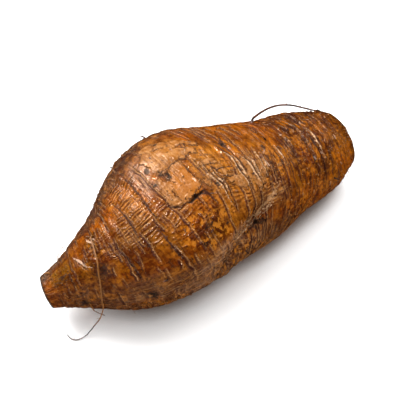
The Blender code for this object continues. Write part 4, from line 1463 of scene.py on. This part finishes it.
def new_tree(name, inputs):
    """A Geometry Nodes tree with named inputs, given with their kinds, and its input sockets."""
    tree = bpy.data.node_groups.new(name, "GeometryNodeTree")
    for title, kind in inputs:
        tree.interface.new_socket(title, in_out="INPUT", socket_type="NodeSocket" + kind)
    tree.interface.new_socket("Geometry", in_out="OUTPUT", socket_type="NodeSocketGeometry")
    return tree, add(tree, "NodeGroupInput").outputs


def end_tree(tree, shapes, material):
    """End a tree: its shapes become one mesh with the given material."""
    real = add(tree, "GeometryNodeRealizeInstances", {"Geometry": shapes})
    finish = add(tree, "GeometryNodeSetMaterial", {"Geometry": real.outputs[0], "Material": material})
    add(tree, "NodeGroupOutput", {"Geometry": finish.outputs[0]})
    return tree


def thread_tree():
    """Geometry Nodes that turn paths into round threads as thick as their points' radius."""
    tree, given = new_tree("threads", (("Geometry", "Geometry"), ("Thickness", "Float"),
                                       ("Sides", "Int"), ("Material", "Material")))
    half = add(tree, "ShaderNodeMath", {0: given["Thickness"], 1: 0.5}, operation="MULTIPLY")
    profile = add(tree, "GeometryNodeCurvePrimitiveCircle",
                  {"Resolution": given["Sides"], "Radius": half.outputs[0]})
    width = add(tree, "GeometryNodeInputRadius")
    tube = add(tree, "GeometryNodeCurveToMesh",
               {"Curve": given["Geometry"], "Profile Curve": profile.outputs["Curve"],
                "Scale": width.outputs["Radius"], "Fill Caps": True})
    smooth = add(tree, "GeometryNodeSetShadeSmooth", {"Geometry": tube.outputs["Mesh"]})
    return end_tree(tree, smooth.outputs[0], given["Material"])


def apply_tree(name, source, tree, values):
    """Run a node tree on an object and keep its result as a plain mesh object."""
    modifier = source.modifiers.new(tree.name, "NODES")
    modifier.node_group = tree
    for item in tree.interface.items_tree:
        if item.in_out == "INPUT" and item.name in values:
            modifier[item.identifier] = values[item.name]
    graph = bpy.context.evaluated_depsgraph_get()
    mesh = bpy.data.meshes.new_from_object(source.evaluated_get(graph))
    mesh.name = name
    source.modifiers.remove(modifier)
    item = bpy.data.objects.new(name, mesh)
    bpy.context.scene.collection.objects.link(item)
    return item


def keep_in_box(mesh):
    """Press points that stand out of the solid's box back onto its sides."""
    places = np.zeros(len(mesh.vertices) * 3)
    mesh.vertices.foreach_get("co", places)
    kept = np.clip(places.reshape(-1, 3), np.array(CAD_BOX[0]), np.array(CAD_BOX[1]))
    mesh.vertices.foreach_set("co", kept.ravel())


def make_threads(name, paths, thickness, sides, material, tree):
    """Round threads along paths. Each path is points in millimetres and a width share for each."""
    curve = bpy.data.curves.new(name + "_paths", "CURVE")
    curve.dimensions = "3D"
    for points, shares in paths:
        spline = curve.splines.new("POLY")
        spline.points.add(len(points) - 1)
        for index, point in enumerate(points):
            spline.points[index].co = (*(np.asarray(point) * MM), 1.0)
            spline.points[index].radius = shares[index]
    source = bpy.data.objects.new(name + "_paths", curve)
    bpy.context.scene.collection.objects.link(source)
    values = {"Thickness": thickness * MM, "Sides": sides, "Material": material}
    made = apply_tree(name, source, tree, values)
    bpy.data.objects.remove(source)
    if material:
        keep_in_box(made.data)
    return made


def rootlet_paths():
    """Finished paths of the rootlets: kinked a little, knotted here and there, and tapered."""
    paths = []
    for number, route in enumerate(rootlet_routes()):
        points = even_points(route, ROOTLET_STEP)
        kink = np.stack([grain(points, 7.0, 120 + number * 3 + axis) for axis in range(3)], -1)
        share = np.linspace(0.0, 1.0, len(points))
        points = points + 0.35 * kink * ease(share, 0.05, 0.2)[:, None]
        points[:, 2] = np.maximum(points[:, 2], 0.4)
        knots = 0.35 * np.maximum(grain(points, 2.2, 140 + number), 0.0) ** 2
        widths = ROOTLET_SHARES[number] * (1.0 - 0.45 * share) * (1.0 + knots)
        paths.append((points, widths))
        paths.extend(side_hairs(points, widths, number))
    return paths


def side_hairs(points, widths, seed):
    """Short hairs that stand out from a rootlet."""
    draw = random.Random(seed)
    hairs = []
    for index in range(6, len(points) - 2, SIDE_HAIR_EVERY):
        foot = points[index + draw.choice((-3, -2, -1, 0, 1))]
        side = np.array([draw.gauss(0.0, 0.5), draw.gauss(0.0, 0.5), abs(draw.gauss(0.6, 0.4))])
        side = side / np.linalg.norm(side)
        length = draw.uniform(*SIDE_HAIR_LENGTHS)
        bend = np.array([draw.uniform(-0.5, 0.5), draw.uniform(-0.5, 0.5), 0.0])
        hair = [foot + side * length * t + bend * t * t for t in (0.0, 0.35, 0.7, 1.0)]
        hairs.append((np.array(hair), np.linspace(0.5, 0.25, 4) * widths[index]))
    return hairs


def fray_paths():
    """Loose threads of torn skin: each stands off the bark and leans along it and round it."""
    paths = []
    for ring, angle, lift, along, around in FRAYS:
        route = over_skin(((ring, angle, -1.0),
                           (ring + 0.15 * along, angle + 0.15 * around, 0.5 * lift),
                           (ring + 0.5 * along, angle + 0.5 * around, 0.9 * lift),
                           (ring + along, angle + around, lift)))
        points = even_points(route, 0.7)
        paths.append((points, np.linspace(1.0, 0.45, len(points))))
    return paths


def stub_paths():
    """Finished paths of the broken stubs."""
    paths = []
    for route in stub_routes():
        points = even_points(route, 0.6)
        points = points[:max(4, round(len(points) * STUB_SHARE))]
        share = np.linspace(0.0, 1.0, len(points))
        paths.append((points, 1.25 - 0.75 * share))
    return paths


# Small things scattered over the bark

def scatter_tree():
    """Geometry Nodes that set copies of a small shape on the bark, more where a mask is high."""
    tree, given = new_tree("scatter", (
        ("Geometry", "Geometry"), ("Shape", "Object"), ("Mask", "String"), ("Density", "Float"),
        ("Smallest", "Float"), ("Largest", "Float"), ("Tilt", "Float"), ("Seed", "Int"),
        ("Material", "Material")))
    seed = given["Seed"]
    mask = add(tree, "GeometryNodeInputNamedAttribute", {"Name": given["Mask"]}, data_type="FLOAT")
    density = add(tree, "ShaderNodeMath", {0: mask.outputs["Attribute"], 1: given["Density"]},
                  operation="MULTIPLY")
    spots = add(tree, "GeometryNodeDistributePointsOnFaces",
                {"Mesh": given["Geometry"], "Density": density.outputs[0], "Seed": seed})
    spin = add(tree, "FunctionNodeRandomValue",
               {"Min": (-0.6, -0.6, 0.0), "Max": (0.6, 0.6, 2.0 * math.pi), "Seed": seed},
               data_type="FLOAT_VECTOR")
    tilt = add(tree, "ShaderNodeCombineXYZ", {0: given["Tilt"], 1: given["Tilt"], 2: 1.0})
    turned = add(tree, "ShaderNodeVectorMath", {0: spin.outputs["Value"], 1: tilt.outputs[0]},
                 operation="MULTIPLY")
    rotation = add(tree, "FunctionNodeRotateRotation",
                   {"Rotation": spots.outputs["Rotation"], "Rotate By": turned.outputs[0]},
                   rotation_space="LOCAL")
    scale = add(tree, "FunctionNodeRandomValue",
                {"Min_001": given["Smallest"], "Max_001": given["Largest"], "Seed": seed},
                data_type="FLOAT")
    shape = add(tree, "GeometryNodeObjectInfo", {"Object": given["Shape"]})
    copies = add(tree, "GeometryNodeInstanceOnPoints",
                 {"Points": spots.outputs["Points"], "Instance": shape.outputs["Geometry"],
                  "Rotation": rotation.outputs[0], "Scale": socket_of(scale.outputs, "Value_001")})
    return end_tree(tree, copies.outputs[0], given["Material"])


def hair_shape(threads):
    """One root hair, bent over, with its foot in the bark."""
    points = np.array([(0.0, 0.0, -0.5), (0.1, 0.0, 0.5), (0.6, 0.1, 1.3), (1.5, 0.3, 1.8),
                       (2.6, 0.2, 1.9), (3.6, -0.2, 1.7)])
    widths = np.linspace(1.0, 0.5, len(points))
    return make_threads("hair", [(points, widths)], HAIR_THICKNESS, 3, None, threads)


def scale_shape():
    """One loose scale of bark, a small torn plate that curls up at one end."""
    across = np.linspace(-1.0, 1.0, 5)
    along = np.linspace(-1.0, 1.0, 4)
    draw = random.Random(SEED)
    points = []
    for x in across:
        for y in along:
            narrow = 1.0 - 0.35 * abs(x)
            points.append((1.3 * x + draw.uniform(-0.15, 0.15),
                           0.65 * y * narrow + draw.uniform(-0.12, 0.12),
                           0.05 + 0.30 * max(x, 0.0) ** 2 - 0.15 * y * y))
    faces = []
    for column in range(len(across) - 1):
        for row in range(len(along) - 1):
            first = column * len(along) + row
            faces.append((first, first + len(along), first + len(along) + 1, first + 1))
    plate = new_object("scale", points, faces, [])
    plate.modifiers.new("thickness", "SOLIDIFY").thickness = SCALE_THICKNESS * MM
    graph = bpy.context.evaluated_depsgraph_get()
    plate.data = bpy.data.meshes.new_from_object(plate.evaluated_get(graph))
    plate.modifiers.clear()
    return plate


def scatter(name, body, shape, tree, mask, spread, material):
    """Copies of a small shape set on the bark, as one mesh."""
    density, smallest, largest, tilt, seed = spread
    values = {"Shape": shape, "Mask": mask, "Density": density, "Smallest": smallest,
              "Largest": largest, "Tilt": tilt, "Seed": seed, "Material": material}
    made = apply_tree(name, body, tree, values)
    bpy.data.objects.remove(shape)
    keep_in_box(made.data)
    return made


# Stage

def make_floor():
    """A wide white floor that the root rests on."""
    near, far = -FLOOR_REACH, FLOOR_REACH
    corners = [(near, near, 0.0), (far, near, 0.0), (far, far, 0.0), (near, far, 0.0)]
    floor = new_object("floor", corners, [(0, 1, 2, 3)], [floor_material()])
    floor.location.z = -FLOOR_GAP * MM
    floor.visible_glossy = False


def aim(item, azimuth, elevation, distance):
    """Put a lamp or the camera at a distance from the root, facing it."""
    azimuth = math.radians(azimuth)
    elevation = math.radians(elevation)
    towards = Vector((math.sin(azimuth) * math.cos(elevation),
                      -math.cos(azimuth) * math.cos(elevation), math.sin(elevation)))
    item.location = (Vector(CAMERA_TARGET) + towards * distance) * MM
    item.rotation_mode = "QUATERNION"
    item.rotation_quaternion = towards.to_track_quat("Z", "Y")
    bpy.context.scene.collection.objects.link(item)


def make_lamp(name, azimuth, elevation, distance, size, watts, glossy=True, diffuse=True):
    """A square soft box that faces the root: whether the wet bark mirrors it, and is lit by it."""
    data = bpy.data.lights.new(name, "AREA")
    data.shape = "SQUARE"
    data.size = size * MM
    data.energy = watts
    lamp = bpy.data.objects.new(name, data)
    lamp.visible_glossy = glossy
    lamp.visible_diffuse = diffuse
    aim(lamp, azimuth, elevation, distance)


def make_world():
    """Even white surroundings."""
    world = bpy.data.worlds.new("white_room")
    world.use_nodes = True
    bpy.context.scene.world = world
    background = world.node_tree.nodes["Background"]
    background.inputs["Color"].default_value = linear("#ffffff")
    background.inputs["Strength"].default_value = WORLD_STRENGTH
    world.cycles_visibility.glossy = False


def make_camera():
    """The camera, at the photograph's viewing angle."""
    data = bpy.data.cameras.new("camera")
    data.angle = math.radians(CAMERA_FIELD_OF_VIEW)
    data.clip_start = 0.05
    camera = bpy.data.objects.new("camera", data)
    aim(camera, CAMERA_AZIMUTH, CAMERA_ELEVATION, CAMERA_DISTANCE)
    bpy.context.scene.camera = camera


def make_stage():
    """Camera, floor, surroundings and lamps."""
    make_camera()
    make_floor()
    make_world()
    make_lamp("key", -158.0, 58.0, 1200.0, 760.0, 17.0)
    make_lamp("overhead", 149.0, 80.0, 1500.0, 1500.0, 14.5, glossy=False)
    make_lamp("side", 95.0, 50.0, 1400.0, 500.0, 5.0)
    make_lamp("glints", -158.0, 56.0, 1200.0, 180.0, 42.0, diffuse=False)
    bpy.context.scene.view_settings.view_transform = "Standard"


def main():
    """Build the stage and the pieces, and hand the pieces to the part's one body."""
    make_stage()
    body = make_skin([bark_material(), cut_material()])
    threads = thread_tree()
    scattering = scatter_tree()
    woody = rootlet_material("woody_rootlet", "#5a3018", "#1e100a")
    fine_hair = rootlet_material("dry_root_hair", "#96683e", "#4a2c18")
    loose = rootlet_material("loose_bark_scale", "#a06630", "#3c1c0c")
    rootlets = make_threads("rootlets", rootlet_paths(), ROOTLET_THICKNESS, ROOTLET_SIDES, woody,
                            threads)
    stubs = make_threads("broken_rootlets", stub_paths(), STUB_THICKNESS, ROOTLET_SIDES, woody,
                         threads)
    frays = make_threads("loose_threads", fray_paths(), FRAY_THICKNESS, 5, fine_hair, threads)
    hairs = scatter("root_hairs", body, hair_shape(threads), scattering, "hairy", HAIR_SPREAD,
                    fine_hair)
    scales = scatter("bark_scales", body, scale_shape(), scattering, "scaly", SCALE_SPREAD, loose)

    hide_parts("root")
    for piece in (body, rootlets, stubs, frays, hairs, scales):
        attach(piece, "root")


main()
